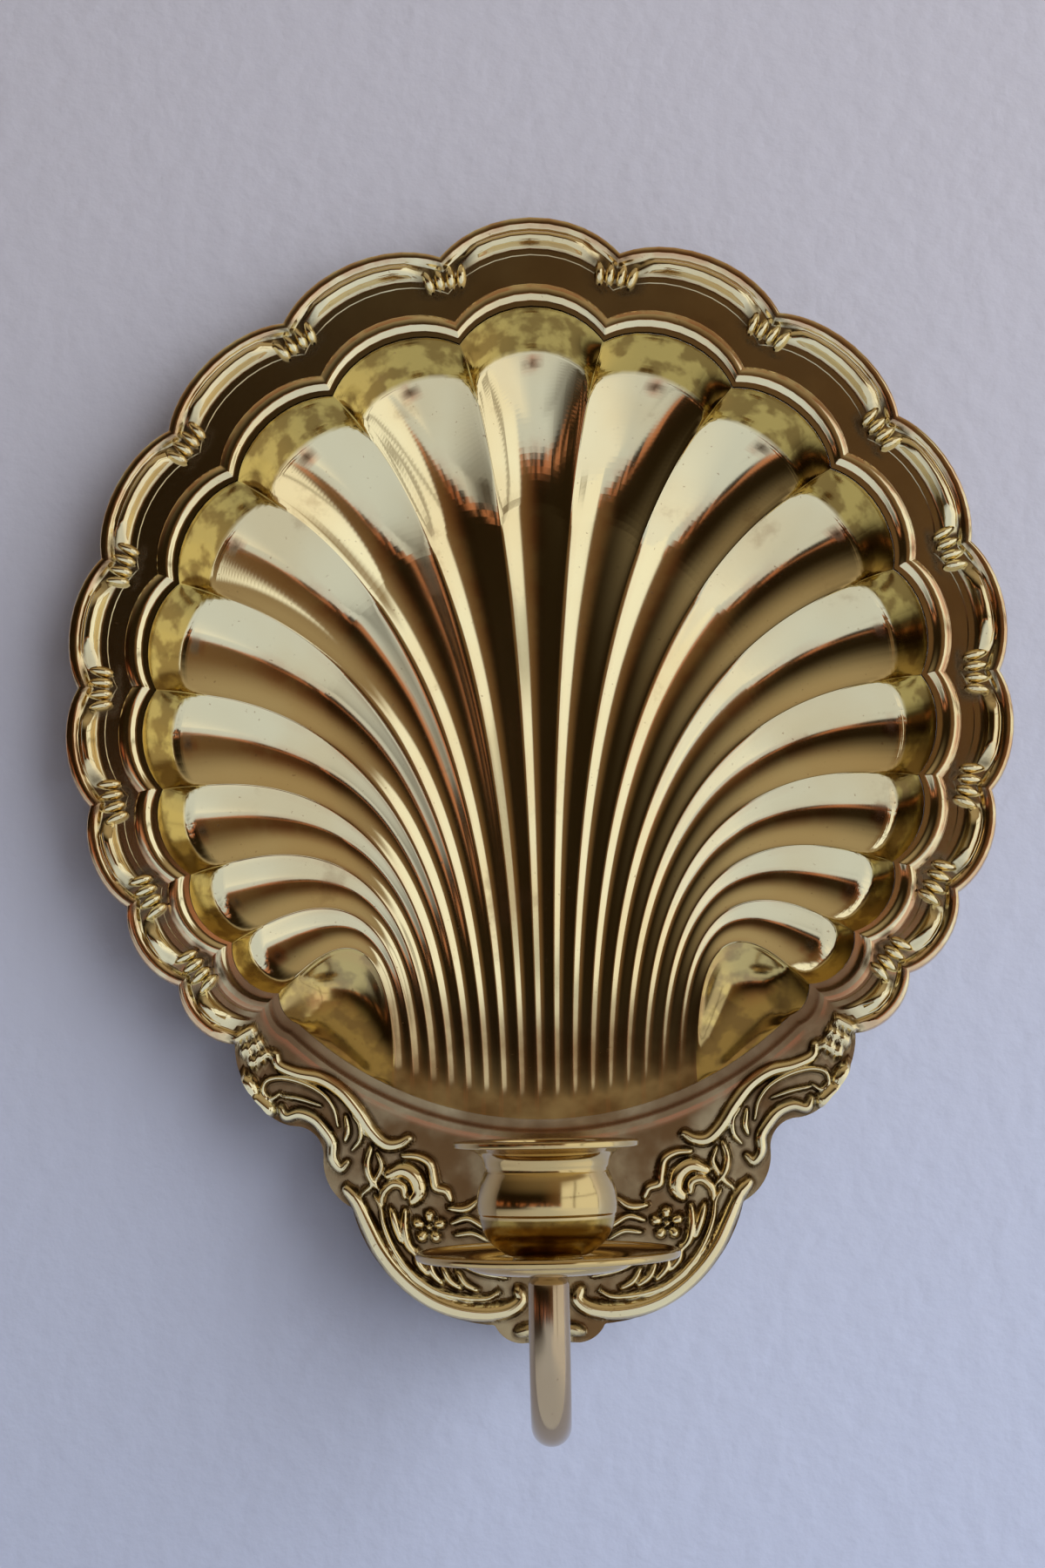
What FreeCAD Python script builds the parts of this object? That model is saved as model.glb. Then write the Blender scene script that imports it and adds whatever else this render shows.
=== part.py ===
"""Shell wall sconce: a pressed brass scallop plate with a bent arm, drip pan and candle cup.

Frame: X to the right, Y into the wall, Z up, in millimetres. The origin is the hanging eye's
centre on the wall plane. The plate itself is drawn about the centre of its round rim.
"""
import FreeCAD, Part
import Sketcher
import math
import os
from FreeCAD import Vector

# ---------------------------------------------------------------------------------------------
# Driving dimensions (mm and degrees)
# ---------------------------------------------------------------------------------------------
DRIVING = [
    # shell plate
    ("sheet", 1.0, "thickness of the pressed brass sheet"),
    ("rim_radius", 111.0, "circle through the cusps between the rim lobes"),
    ("top_angle", 23.6, "angle that the top lobe spans, degrees"),
    ("step_angle", 1.71, "each next lobe down the side spans this much less, degrees"),
    ("lobe_rise", 3.2, "how far a side lobe stands out beyond the cusps"),
    ("top_lobe_extra", 4.4, "how much further the top lobe stands out"),
    ("moulding_width", 9.0, "width of the rolled moulding round the rim"),
    ("moulding_height", 3.3, "height of the moulding's crest above the brim"),
    ("brim_width", 18.6, "from the rim's circle of cusps in to the bowl's"),
    ("bowl_drop", 4.0, "how far the bowl's centre lies below the rim's"),
    ("bowl_depth", 12.5, "depth of the ridges between the flutes, below the brim"),
    ("flute_ratio", 0.19, "depth of a flute over its width"),
    ("lip_width", 3.2, "width of the rounded lip round the bowl"),
    ("lip_drop", 1.2, "depth of the bowl's sharp edge below the brim"),
    ("toe_margin", 8.65, "lowest point of the bowl's edge above the rim circle's bottom"),
    ("foot_margin", 21.8, "lowest point of the plate below the arm's hole"),
    ("scroll_radius", 2.2, "half width of the long scroll raised on the foot"),
    # arm
    ("arm_diameter", 8.2, "brass rod of the arm"),
    ("arm_reach", 75.0, "candle axis in front of the brim"),
    ("arm_drop", 30.45, "arm's hole below the bowl's lower edge"),
    ("arm_stub", 10.0, "straight run out of the plate"),
    ("arm_bend", 16.0, "radius of the first bend, at the plate"),
    ("dip_angle", 40.0, "angle at which the arm dips below the level, degrees"),
    ("arm_turn", 17.0, "radius of the bend up to the pan"),
    ("arm_rise", 15.1, "straight upright run under the pan"),
    ("arm_neck_step", 1.1, "step in from the rod to the turned-down neck at its top"),
    ("arm_neck_height", 1.4, "height of that neck"),
    ("tail_step", 1.1, "step in from the rod to the threaded tail through the plate"),
    ("tail_end", 1.3, "how far the tail stands out of the nut"),
    ("washer_width", 3.5, "from the tail to the washer's edge"),
    ("washer_thickness", 1.2, "thickness of the rear washer"),
    ("nut_wall", 2.0, "from the tail to a flat of the rear nut"),
    ("nut_thickness", 4.5, "thickness of the rear nut"),
    # drip pan
    ("pan_brim", 9.4, "from the pan's well to its edge"),
    ("pan_wall", 1.0, "sheet thickness of the pan"),
    ("pan_well_radius", 17.0, "radius of the well that the cup stands in"),
    ("pan_well_depth", 2.2, "depth of that well"),
    ("pan_rise", 0.6, "rise of the rim from the well to its edge"),
    ("pan_bead", 1.6, "height of the rolled edge"),
    # candle cup
    ("candle_diameter", 22.0, "candle that the cup takes"),
    ("candle_gap", 0.2, "gap round the candle"),
    ("candle_depth", 15.0, "depth of the candle's bore"),
    ("cup_base", 9.7, "from the cup's foot to the floor of its bore"),
    ("cup_flange_width", 7.3, "from the bore to the flat flange's edge"),
    ("cup_flange_edge", 1.3, "thickness of the flange at its edge"),
    ("cup_neck_wall", 1.2, "wall of the neck under the flange"),
    ("cup_wall", 2.7, "wall of the body where it is widest"),
    ("cup_foot_radius", 7.2, "radius of the foot"),
    ("cup_foot_height", 1.4, "height of the foot"),
    # screw through the cup into the arm
    ("screw_diameter", 4.0, "thread of the cup's screw"),
    ("screw_head_step", 1.6, "from the thread to the head's edge"),
    ("screw_head_height", 2.4, "height of the screw's head"),
    ("screw_grip", 7.0, "length of thread in the arm"),
    ("head_gap", 0.4, "radial gap round the screw's head in its counterbore"),
    ("slot_width", 1.0, "screwdriver slot"),
    ("slot_depth", 1.1, "depth of the screwdriver slot"),
    # hanging strap
    ("eye_inset", 8.6, "hanging eye in from the rim's circle of cusps"),
    ("eye_diameter", 4.5, "hole for the nail or screw in the wall"),
    ("strap_margin", 1.25, "metal above and below the eye"),
    ("strap_thickness", 1.5, "thickness of the strap"),
    ("strap_span", 17.0, "width of the strap's part that lies on the wall"),
    ("strap_foot", 6.0, "length of each soldered foot"),
    ("wall_gap", 0.5, "gap between the back of the bowl and the wall"),
    # fits
    ("thread_gap", 0.05, "radial gap at a thread"),
    ("hole_gap", 0.2, "radial gap round a bolt that passes through"),
]

# Sizes that follow from the driving ones, so that the pieces keep together.
DERIVED = [
    ("bowl_radius", "rim_radius - brim_width", "circle through the cusps of the bowl's edge"),
    ("toe_radius", "bowl_radius / 1.1", "radius of the bowl's lower edge"),
    ("toe_bottom", "rim_radius - toe_margin", "lowest point of the bowl, below the rim's centre"),
    ("rib_pitch", "toe_radius / 20", "width of a flute where it meets the lower edge"),
    ("crest_rise", "bowl_radius * 1.775", "how far the middle ridge climbs before it turns out"),
    ("side_rise", "bowl_radius * 0.628", "the same for the last ridge at the side"),
    ("arm_height", "toe_bottom + arm_drop", "arm's hole below the rim's centre"),
    ("eye_height", "rim_radius - eye_inset", "hanging eye above the rim's centre"),
    ("strap_width", "eye_diameter + 2 * strap_margin", "height of the strap"),
    ("arm_neck_radius", "arm_diameter / 2 - arm_neck_step", "neck at the arm's top"),
    ("tail_diameter", "arm_diameter - 2 * tail_step", "threaded tail through the plate"),
    ("tail_length", "sheet + washer_thickness + nut_thickness + tail_end", "threaded tail"),
    ("washer_radius", "tail_diameter / 2 + washer_width", "outer radius of the rear washer"),
    ("nut_flats", "tail_diameter + 2 * nut_wall", "width across the flats of the rear nut"),
    ("pan_radius", "pan_well_radius + pan_brim", "outer radius of the drip pan"),
    ("bore_radius", "candle_diameter / 2 + candle_gap", "the candle's bore"),
    ("cup_height", "cup_base + candle_depth", "foot to flange"),
    ("cup_flange_radius", "bore_radius + cup_flange_width", "radius of the flat flange"),
    ("cup_neck_radius", "bore_radius + cup_neck_wall", "radius of the neck under the flange"),
    ("cup_body_radius", "bore_radius + cup_wall", "largest radius of the body"),
    ("screw_head_radius", "screw_diameter / 2 + screw_head_step", "head of the cup's screw"),
]

LOBES_A_SIDE = 8          # lobes and flutes each side of the middle one
BEZIER_SHARE = 0.27       # where a lobe's two inner poles lie, as a share of its span


class Dim:
    """A size that carries both its number and its spreadsheet expression."""

    def __init__(self, number, text=None):
        self.number = float(number)
        self.text = text if text is not None else repr(float(number))

    def _join(self, other, number, sign):
        other = other if isinstance(other, Dim) else Dim(other)
        return Dim(number(self.number, other.number), f"({self.text} {sign} {other.text})")

    def __add__(self, other):
        return self._join(other, lambda a, b: a + b, "+")

    def __sub__(self, other):
        return self._join(other, lambda a, b: a - b, "-")

    def __mul__(self, other):
        return self._join(other, lambda a, b: a * b, "*")

    def __truediv__(self, other):
        return self._join(other, lambda a, b: a / b, "/")

    def __neg__(self):
        return Dim(-self.number, f"(-1 * {self.text})")

    def sin(self):
        """Sine of a size in degrees."""
        return Dim(math.sin(math.radians(self.number)), f"sin({self.text} * 1 deg)")

    def cos(self):
        """Cosine of a size in degrees."""
        return Dim(math.cos(math.radians(self.number)), f"cos({self.text} * 1 deg)")


doc = FreeCAD.newDocument("ShellWallSconce")
sheet = doc.addObject("Spreadsheet::Sheet", "Sizes")
size = {}
for row, (alias, number, meaning) in enumerate(DRIVING, start=1):
    sheet.set(f"A{row}", meaning)
    sheet.set(f"B{row}", str(number))
    sheet.setAlias(f"B{row}", alias)
for row, (alias, formula, meaning) in enumerate(DERIVED, start=len(DRIVING) + 1):
    sheet.set(f"A{row}", meaning)
    sheet.set(f"B{row}", f"={formula}")
    sheet.setAlias(f"B{row}", alias)
doc.recompute()


def value(alias):
    """The number in a cell of the sheet."""
    return float(getattr(sheet, alias))


for alias, _, _ in DRIVING + DERIVED:
    size[alias] = Dim(value(alias), f"Sizes.{alias}")

ZERO = Dim(0.0)
SHEET = value("sheet")

# ---------------------------------------------------------------------------------------------
# Shell plate: pole nets for the flutes, the lip, the brim and the moulding
# ---------------------------------------------------------------------------------------------
# A node of the pole nets is a pair: its point on the front skin, and the step from there to the
# back skin. Nets that meet share their nodes, so the skins close without a gap.


def polar(angle, radius):
    """A point in the plate's plane, at an angle in degrees from straight up."""
    turn = math.radians(angle)
    return Vector(radius * math.sin(turn), 0, radius * math.cos(turn))


def cusp_angle(border):
    """Angle of the cusp at border 0.5, 1.5 ... either side of the top lobe."""
    count = abs(border)
    angle = value("top_angle") * count - value("step_angle") / 2 * count ** 2
    return math.copysign(angle, border)


def rise_of(lobe):
    """How far a lobe stands out beyond its cusps; the extra halves from lobe to lobe."""
    return value("lobe_rise") + value("top_lobe_extra") * 0.5 ** abs(lobe)


def bowl_cusp_radius(angle):
    """Distance from the rim's centre to the bowl's cusp circle, which lies a little lower."""
    drop = value("bowl_drop")
    turn = math.radians(angle)
    across = drop * math.sin(turn)
    return math.sqrt(value("bowl_radius") ** 2 - across ** 2) - drop * math.cos(turn)


def lobe_poles(lobe, start_radius, end_radius, rise):
    """Four poles of one scallop between two cusps, its middle standing out by the rise."""
    start, end = cusp_angle(lobe - 0.5), cusp_angle(lobe + 0.5)
    half = math.radians(end - start) / 2
    cusps = (start_radius + end_radius) / 2
    reach = (8 * (cusps + rise) - 2 * cusps * math.cos(half))
    reach /= 6 * math.cos(half * (1 - 2 * BEZIER_SHARE))
    first = start + (end - start) * BEZIER_SHARE
    second = end - (end - start) * BEZIER_SHARE
    return [polar(start, start_radius), polar(first, reach),
            polar(second, reach), polar(end, end_radius)]


TOE_CENTRE = Vector(0, 0, value("toe_radius") - value("toe_bottom"))
SIDE = LOBES_A_SIDE + 1.5                    # border between a smooth side panel and the edge
LAST = LOBES_A_SIDE + 0.5                    # border between the last flute and the side panel


def toe_point(across):
    """A point on the bowl's lower edge."""
    drop = math.sqrt(value("toe_radius") ** 2 - across ** 2)
    return TOE_CENTRE + Vector(across, 0, -drop)


PANEL_FOOT = 1.0          # width of a side panel at its foot, in rib pitches
PANEL_TIP = 0.69          # where the panel's tip lies on the lower edge, as a share of its radius
PATH_STEPS = 80


def ridge_path(border):
    """Points along a ridge, from the lower edge straight up and out to its cusp."""
    pitch = value("rib_pitch")
    if abs(border) > LAST:
        foot = pitch * (LAST + PANEL_FOOT)
        tip = value("toe_radius") * PANEL_TIP
        start, end = math.asin(foot / value("toe_radius")), math.asin(tip / value("toe_radius"))
        turns = [start + (end - start) * step / PATH_STEPS for step in range(PATH_STEPS + 1)]
        side = math.copysign(value("toe_radius"), border)
        return [toe_point(side * math.sin(turn)) for turn in turns]
    foot = toe_point(pitch * border)
    angle = cusp_angle(border)
    cusp = polar(angle, bowl_cusp_radius(angle))
    share = (abs(border) - 0.5) / LOBES_A_SIDE
    rise = value("crest_rise") + (value("side_rise") - value("crest_rise")) * share
    top = foot + Vector(0, 0, rise)
    points = []
    for step in range(PATH_STEPS + 1):
        far = step / PATH_STEPS
        near = 1 - far
        points.append(foot * near ** 3 + top * (3 * near ** 2 * far)
                      + cusp * (3 * near * far ** 2 + far ** 3))
    return points


def along(points, distance):
    """The point at a distance along a chain of points."""
    for first, second in zip(points, points[1:]):
        step = (second - first).Length
        if distance <= step:
            return first + (second - first) * (distance / step)
        distance -= step
    return points[-1]


# Rows of poles along a ridge: the wall over the lower edge, the floor, and the end wall.
TOE_RUN = (0.0, 4.5, 17.0)                   # distances of the first rows from the lower edge
END_RUN = (21.0, 4.6, 0.0)                   # distances of the last rows from the cusp
DEPTHS = (0.0, 0.46, 0.74, 0.88, 0.98, 1.04, 0.86, 0.0)      # of the ridge, by row
BULGES = (0.0, 0.0, 0.0, 0.0, 0.12, 0.55, 1.0, 1.0)          # share of the lobe's rise, by row
ROWS = len(DEPTHS)


def ridge_rows(border):
    """Poles of one ridge in the plate's plane."""
    path = ridge_path(border)
    length = sum((b - a).Length for a, b in zip(path, path[1:]))
    if abs(border) > LAST:
        return [along(path, length * row / (ROWS - 1)) for row in range(ROWS)]
    run = [step for step in TOE_RUN]
    gap = length - TOE_RUN[-1] - END_RUN[0]
    run += [TOE_RUN[-1] + gap / 3, TOE_RUN[-1] + gap * 2 / 3]
    run += [length - step for step in END_RUN]
    return [along(path, distance) for distance in run]


def ridge_depth(border, row):
    """Depth of a ridge's pole below the brim; the ridges get shallower towards the sides."""
    drop = value("lip_drop")
    if abs(border) > LAST:
        return drop
    share = abs(border) / LAST
    deep = value("bowl_depth") * (1 - 0.42 * share ** 2)
    return drop + (deep - drop) * DEPTHS[row]


PANEL_RATIO = 0.34        # depth of a smooth side panel over its width


def flute_points(lobe):
    """Columns of poles between two ridges: the first ridge and the flute's two inner columns."""
    left, right = ridge_rows(lobe - 0.5), ridge_rows(lobe + 0.5)
    panel = abs(lobe) > LOBES_A_SIDE
    if panel:
        radial = lobe_tip(left[-1], right[-1])
    else:
        radial = lobe_poles(lobe, left[-1].Length, right[-1].Length, rise_of(lobe))
    ratio = PANEL_RATIO if panel else value("flute_ratio")
    columns = []
    for number, share in enumerate((0.0, BEZIER_SHARE, 1 - BEZIER_SHARE)):
        column = []
        bulge = radial[number] - (left[-1] + (right[-1] - left[-1]) * share)
        for row in range(ROWS):
            point = left[row] + (right[row] - left[row]) * share + bulge * BULGES[row]
            deep = ridge_depth(lobe - 0.5, row) * (1 - share) + ridge_depth(lobe + 0.5, row) * share
            if number and 0 < row < ROWS - 1:
                deep += ratio * (right[row] - left[row]).Length * 4 / 3
            column.append(Vector(point.x, deep, point.z))
        columns.append(column)
    return columns


def lobe_tip(start, end):
    """Poles of the small scallop at the tip of a side panel."""
    out = (start + end) * 0.5 - TOE_CENTRE
    out.normalize()
    rise = value("lobe_rise") * 0.6
    return [start, start + (end - start) * BEZIER_SHARE + out * rise,
            end + (start - end) * BEZIER_SHARE + out * rise, end]


def bowl_net():
    """The whole bowl as columns of nodes, from the left side round to the right."""
    columns = []
    for lobe in range(-LOBES_A_SIDE - 1, LOBES_A_SIDE + 2):
        columns += flute_points(lobe)
    end = ridge_rows(SIDE)
    columns.append([Vector(p.x, ridge_depth(SIDE, row), p.z) for row, p in enumerate(end)])
    net = []
    for number, column in enumerate(columns):
        nodes = []
        for row, point in enumerate(column):
            edge = number in (0, len(columns) - 1) or row in (0, ROWS - 1)
            if edge:
                back = (outward(point) * 0.7 + Vector(0, 0.7, 0)) * SHEET
            else:
                across = columns[number + 1][row] - columns[number - 1][row]
                up = column[row + 1] - column[row - 1]
                back = across.cross(up)
                back.normalize()
                back *= SHEET if back.y > 0 else -SHEET
            nodes.append((point, back))
        net.append(nodes)
    return net


def outward(point):
    """Direction in the plate's plane away from the middle of the bowl."""
    away = Vector(point.x, 0, point.z) - TOE_CENTRE
    return away.normalize()


def lip_net(edge):
    """Two rows of nodes: the bowl's edge and, a lip's width out, the flat brim."""
    rows = [list(edge), []]
    for point, back in edge:
        flat = Vector(point.x, 0, point.z)
        rows[1].append((flat + outward(point) * value("lip_width"), Vector(0, SHEET, 0)))
    return rows


# Section of the rim's moulding: distance in from the outer edge and height, as shares of the
# moulding's width and height: a crest, a groove and the outer roll. The back has no groove.
FRONT_SECTION = [(1.00, 0.00), (0.82, 1.00), (0.56, 1.00), (0.42, 0.35),
                 (0.16, 0.80), (0.00, -0.30)]
BACK_SECTION = [(1.00, 0.00), (0.80, 0.90), (0.14, 0.68), (0.00, -0.30)]


def moulding_column(pole, height, section):
    """Nodes across the rim at one pole of its outline, from the inner edge to the outer one."""
    inward = pole * (-1 / pole.Length)
    points = []
    for share, level in section:
        point = pole + inward * (value("moulding_width") * share)
        points.append(point - Vector(0, height * level, 0))
    nodes = []
    for row, point in enumerate(points):
        back = Vector(0, SHEET, 0)
        if 0 < row < len(points) - 1:
            step = points[row + 1] - points[row - 1]
            slope = Vector(step.dot(inward), step.y, 0).normalize()
            back = (inward * slope.y + Vector(0, -slope.x, 0)) * SHEET
        nodes.append((point, back))
    return nodes


def moulding_net(section):
    """The whole moulding as columns of nodes, from the left end round to the right."""
    radius = value("rim_radius")
    net = []
    for lobe in range(-LOBES_A_SIDE, LOBES_A_SIDE + 1):
        outer = lobe_poles(lobe, radius, radius, rise_of(lobe))
        for number, pole in enumerate(outer[:3]):
            height = value("moulding_height")
            if number == 0 and lobe == -LOBES_A_SIDE:
                height = 0.0
            net.append(moulding_column(pole, height, section))
    net.append(moulding_column(outer[3], 0.0, section))
    return net


def knot_vector(count, degree):
    """Multiplicities and knots of a clamped spline with that many poles."""
    spans = count - degree
    mults = [degree + 1] + [1] * (spans - 1) + [degree + 1]
    knots = [step / spans for step in range(spans + 1)]
    return mults, knots


def skin_point(node, back):
    """A node's point on the front skin, or on the back skin behind it."""
    return node[0] + node[1] if back else node[0]


def patch(columns, back, degree_across, degree_along):
    """A face over a net of nodes."""
    poles = [[skin_point(node, back) for node in column] for column in columns]
    across, across_knots = knot_vector(len(poles), degree_across)
    length, length_knots = knot_vector(len(poles[0]), degree_along)
    surface = Part.BSplineSurface()
    surface.buildFromPolesMultsKnots(poles, across, length, across_knots, length_knots,
                                     False, False, degree_across, degree_along)
    return surface.toShape()


def curve(nodes, back, degree=3):
    """An edge over a row of nodes, as the faces that it borders."""
    poles = [skin_point(node, back) for node in nodes]
    mults, knots = knot_vector(len(poles), degree)
    spline = Part.BSplineCurve()
    spline.buildFromPolesMultsKnots(poles, mults, knots, False, degree)
    return spline.toShape()


def spans(nodes):
    """Cut a row of nodes into the runs of four that one lobe or flute uses."""
    return [nodes[start:start + 4] for start in range(0, len(nodes) - 1, 3)]


def creased(net, shares):
    """Columns of nodes on a net of cubic spans, at these shares of each span."""
    columns = []
    for run in spans(net):
        for share in shares:
            rest = 1 - share
            weights = (rest ** 3, 3 * share * rest ** 2, 3 * share ** 2 * rest, share ** 3)
            column = []
            for nodes in zip(*run):
                point, back = Vector(), Vector()
                for node, weight in zip(nodes, weights):
                    point += node[0] * weight
                    back += node[1] * weight
                column.append((point, back))
            columns.append(column)
    columns.append(net[-1])
    return columns


# Lower outline of the plate, right half, from the rim's end to the foot: through point and end
# point of each arc. Across: share of the rim end's distance from the middle. Down: share of the
# drop from the rim's end to the foot.
OUTLINE = [
    ((0.974, 0.120), (0.911, 0.207)),
    ((0.870, 0.249), (0.796, 0.273)),
    ((0.741, 0.302), (0.715, 0.373)),
    ((0.692, 0.475), (0.624, 0.540)),
    ((0.495, 0.775), (0.175, 0.924)),
    ((0.131, 0.972), (0.063, 0.980)),
]


def lower_outline():
    """Arcs of the plate's lower edge, from the rim's right end round to its left end."""
    end = polar(cusp_angle(LAST), value("rim_radius"))
    drop = value("arm_height") + value("foot_margin") + end.z

    def spot(pair, side):
        return Vector(side * end.x * pair[0], 0, end.z - drop * pair[1])

    arcs = []
    start = end
    for through, stop in OUTLINE:
        arcs.append((start, spot(through, 1), spot(stop, 1)))
        start = spot(stop, 1)
    foot = (start, spot((0, 1), 1), spot(OUTLINE[-1][1], -1))
    mirrored = [tuple(Vector(-p.x, 0, p.z) for p in reversed(arc)) for arc in reversed(arcs)]
    return [Part.Arc(*points).toShape() for points in arcs + [foot] + mirrored]


# Scrolls raised on the foot, right half: half width as a share of the long scroll's, and points
# of the centre line in the outline's shares. The back stays flat, as it does under fine relief.
SCROLLS = [
    (0.80, [(0.855, 0.073), (0.790, 0.106), (0.722, 0.120), (0.655, 0.162),
            (0.602, 0.226), (0.558, 0.297), (0.512, 0.336), (0.465, 0.338)]),
    (0.70, [(0.838, 0.238), (0.790, 0.232), (0.742, 0.250), (0.706, 0.286),
            (0.685, 0.335), (0.676, 0.385)]),
    (1.00, [(0.620, 0.490), (0.570, 0.590), (0.530, 0.668), (0.480, 0.738),
            (0.430, 0.790), (0.350, 0.845), (0.280, 0.870), (0.195, 0.887), (0.125, 0.880)]),
]
ARCH = [(1.0, 0.0), (0.8, 0.6), (0.3, 1.0), (-0.3, 1.0), (-0.8, 0.6), (-1.0, 0.0)]
ROOT = 0.4                # how deep a scroll is rooted in the sheet, as a share of its thickness
KNOB_FOOT, KNOB_TOP = 1.15, 0.65      # radii of the knob at a scroll's end, over its half width


def scroll_pieces(share, points, side):
    """One scroll as an arched bar with a knob at each end."""
    end = polar(cusp_angle(LAST), value("rim_radius"))
    drop = value("arm_height") + value("foot_margin") + end.z
    line = Part.BSplineCurve()
    line.interpolate([Vector(side * end.x * across, 0, end.z - drop * down)
                      for across, down in points])
    half = value("scroll_radius") * share
    start, stop = line.FirstParameter, line.LastParameter
    aside = line.tangent(start)[0].cross(Vector(0, 1, 0)) * half
    root = Vector(0, ROOT * SHEET, 0)
    corners = [line.value(start) + aside * a - Vector(0, half * b, 0) for a, b in ARCH]
    corners = [corners[0] + root] + corners + [corners[-1] + root]
    sweep = Part.BRepOffsetAPI.MakePipeShell(Part.Wire(line.toShape()))
    sweep.setBiNormalMode(Vector(0, 1, 0))
    sweep.add(Part.makePolygon(corners + corners[:1]))
    sweep.build()
    sweep.makeSolid()
    knobs = [Part.makeCone(half * KNOB_FOOT, half * KNOB_TOP, half + root.y,
                           line.value(place) + root, Vector(0, -1, 0)) for place in (start, stop)]
    return [sweep.shape()] + knobs


def scrolls():
    """All the scrolls of both sides."""
    return [piece for share, points in SCROLLS for side in (-1, 1)
            for piece in scroll_pieces(share, points, side)]


CREASES = (0.0, 0.33, 0.67)      # where each flute is creased lengthwise, as shares of its width


def bowl_faces(back):
    """Faces of the bowl and its lip on one skin, and the edges where they meet the brim."""
    net = creased(bowl_net(), CREASES)
    faces = [patch(pair, back, 1, 3) for pair in zip(net, net[1:])]
    edges = []
    for row in (0, -1):
        lip = lip_net([column[row] for column in net])
        for pair in zip(zip(*lip), list(zip(*lip))[1:]):
            faces.append(patch(pair, back, 1, 1))
            edges.append(curve([nodes[-1] for nodes in pair], back, 1))
    for column in (net[0], net[-1]):
        lip = lip_net(column)
        faces.append(patch(list(zip(*lip)), back, 3, 1))
        edges.append(curve(lip[-1], back))
    return faces, edges


def rim_faces(back):
    """Faces of the moulding on one skin, its inner edges and its outer ones."""
    net = moulding_net(BACK_SECTION if back else FRONT_SECTION)
    rows = list(zip(*net))
    faces = []
    for first, second in zip(rows, rows[1:]):
        for pair in zip(spans(first), spans(second)):
            faces.append(patch([list(nodes) for nodes in zip(*pair)], back, 3, 1))
    ends = [curve(pair, back, 1) for end in (net[0], net[-1]) for pair in zip(end, end[1:])]
    inner = [curve(run, back) for run in spans(rows[0])]
    outer = [curve(run, back) for run in spans(rows[-1])]
    return faces, inner + ends, outer


def plate_shape():
    """The pressed plate as one closed solid: front skin, back skin and the edge between."""
    arcs = lower_outline()
    through = Vector(0, SHEET, 0)
    faces = []
    for back in (False, True):
        bowl, bowl_edges = bowl_faces(back)
        rim, brim_edges, rim_edges = rim_faces(back)
        brim_edges += [arc.translated(through) if back else arc for arc in arcs]
        wires = [Part.Wire(Part.sortEdges(edges)[0]) for edges in (brim_edges, bowl_edges)]
        faces += bowl + rim + [Part.makeFace(wires, "Part::FaceMakerCheese")]
        if not back:
            faces += [edge.extrude(through) for edge in rim_edges + arcs]
    skin = Part.makeCompound(faces)
    skin.sewShape()
    solid = Part.Solid(skin.Shells[0])
    if solid.Volume < 0:
        solid.reverse()
    hole = Part.makeCylinder(value("tail_diameter") / 2 + value("hole_gap"), 4 * SHEET,
                             Vector(0, -SHEET, -value("arm_height")), Vector(0, 1, 0))
    return solid.fuse(scrolls()).cut(hole).Solids[0]


plate = doc.addObject("Part::Feature", "shell_plate")
plate.Label = "shell_plate"
plate.Shape = plate_shape()
row = len(DRIVING + DERIVED) + 1
sheet.set(f"A{row}", "brim in front of the wall, so that the bowl just clears it")
sheet.set(f"B{row}", str(round(plate.Shape.optimalBoundingBox().YMax, 3) + value("wall_gap")))
sheet.setAlias(f"B{row}", "standoff")
doc.recompute()
size["standoff"] = Dim(value("standoff"), "Sizes.standoff")

# ---------------------------------------------------------------------------------------------
# Helpers for the bodies made by sketches
# ---------------------------------------------------------------------------------------------


def new_body(name):
    """An empty body."""
    body = doc.addObject("PartDesign::Body", name)
    body.Label = name
    return body


def new_sketch(body, name, role):
    """An empty sketch on one of the body's own origin planes."""
    sketch = body.newObject("Sketcher::SketchObject", name)
    plane = next(item for item in body.Origin.OriginFeatures if item.Role == role)
    sketch.AttachmentSupport = [(plane, "")]
    sketch.MapMode = "FlatFace"
    return sketch


def bind(sketch, kind, where, dim):
    """One constraint whose size follows the sheet."""
    index = sketch.addConstraint(Sketcher.Constraint(kind, *where, dim.number))
    sketch.setExpression(f"Constraints[{index}]", dim.text)


def pin(sketch, point, spot):
    """Hold a point of the sketch at a pair of sizes."""
    for kind, axis, dim in (("DistanceX", -2, spot[0]), ("DistanceY", -1, spot[1])):
        if dim.number == 0:
            sketch.addConstraint(Sketcher.Constraint("PointOnObject", *point, axis))
        elif dim.number > 0:
            bind(sketch, kind, (-1, 1, *point), dim)
        else:
            bind(sketch, kind, (*point, -1, 1), -dim)


def flat(spot):
    """A pair of sizes as a point of a sketch."""
    return Vector(spot[0].number, spot[1].number, 0)


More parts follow.
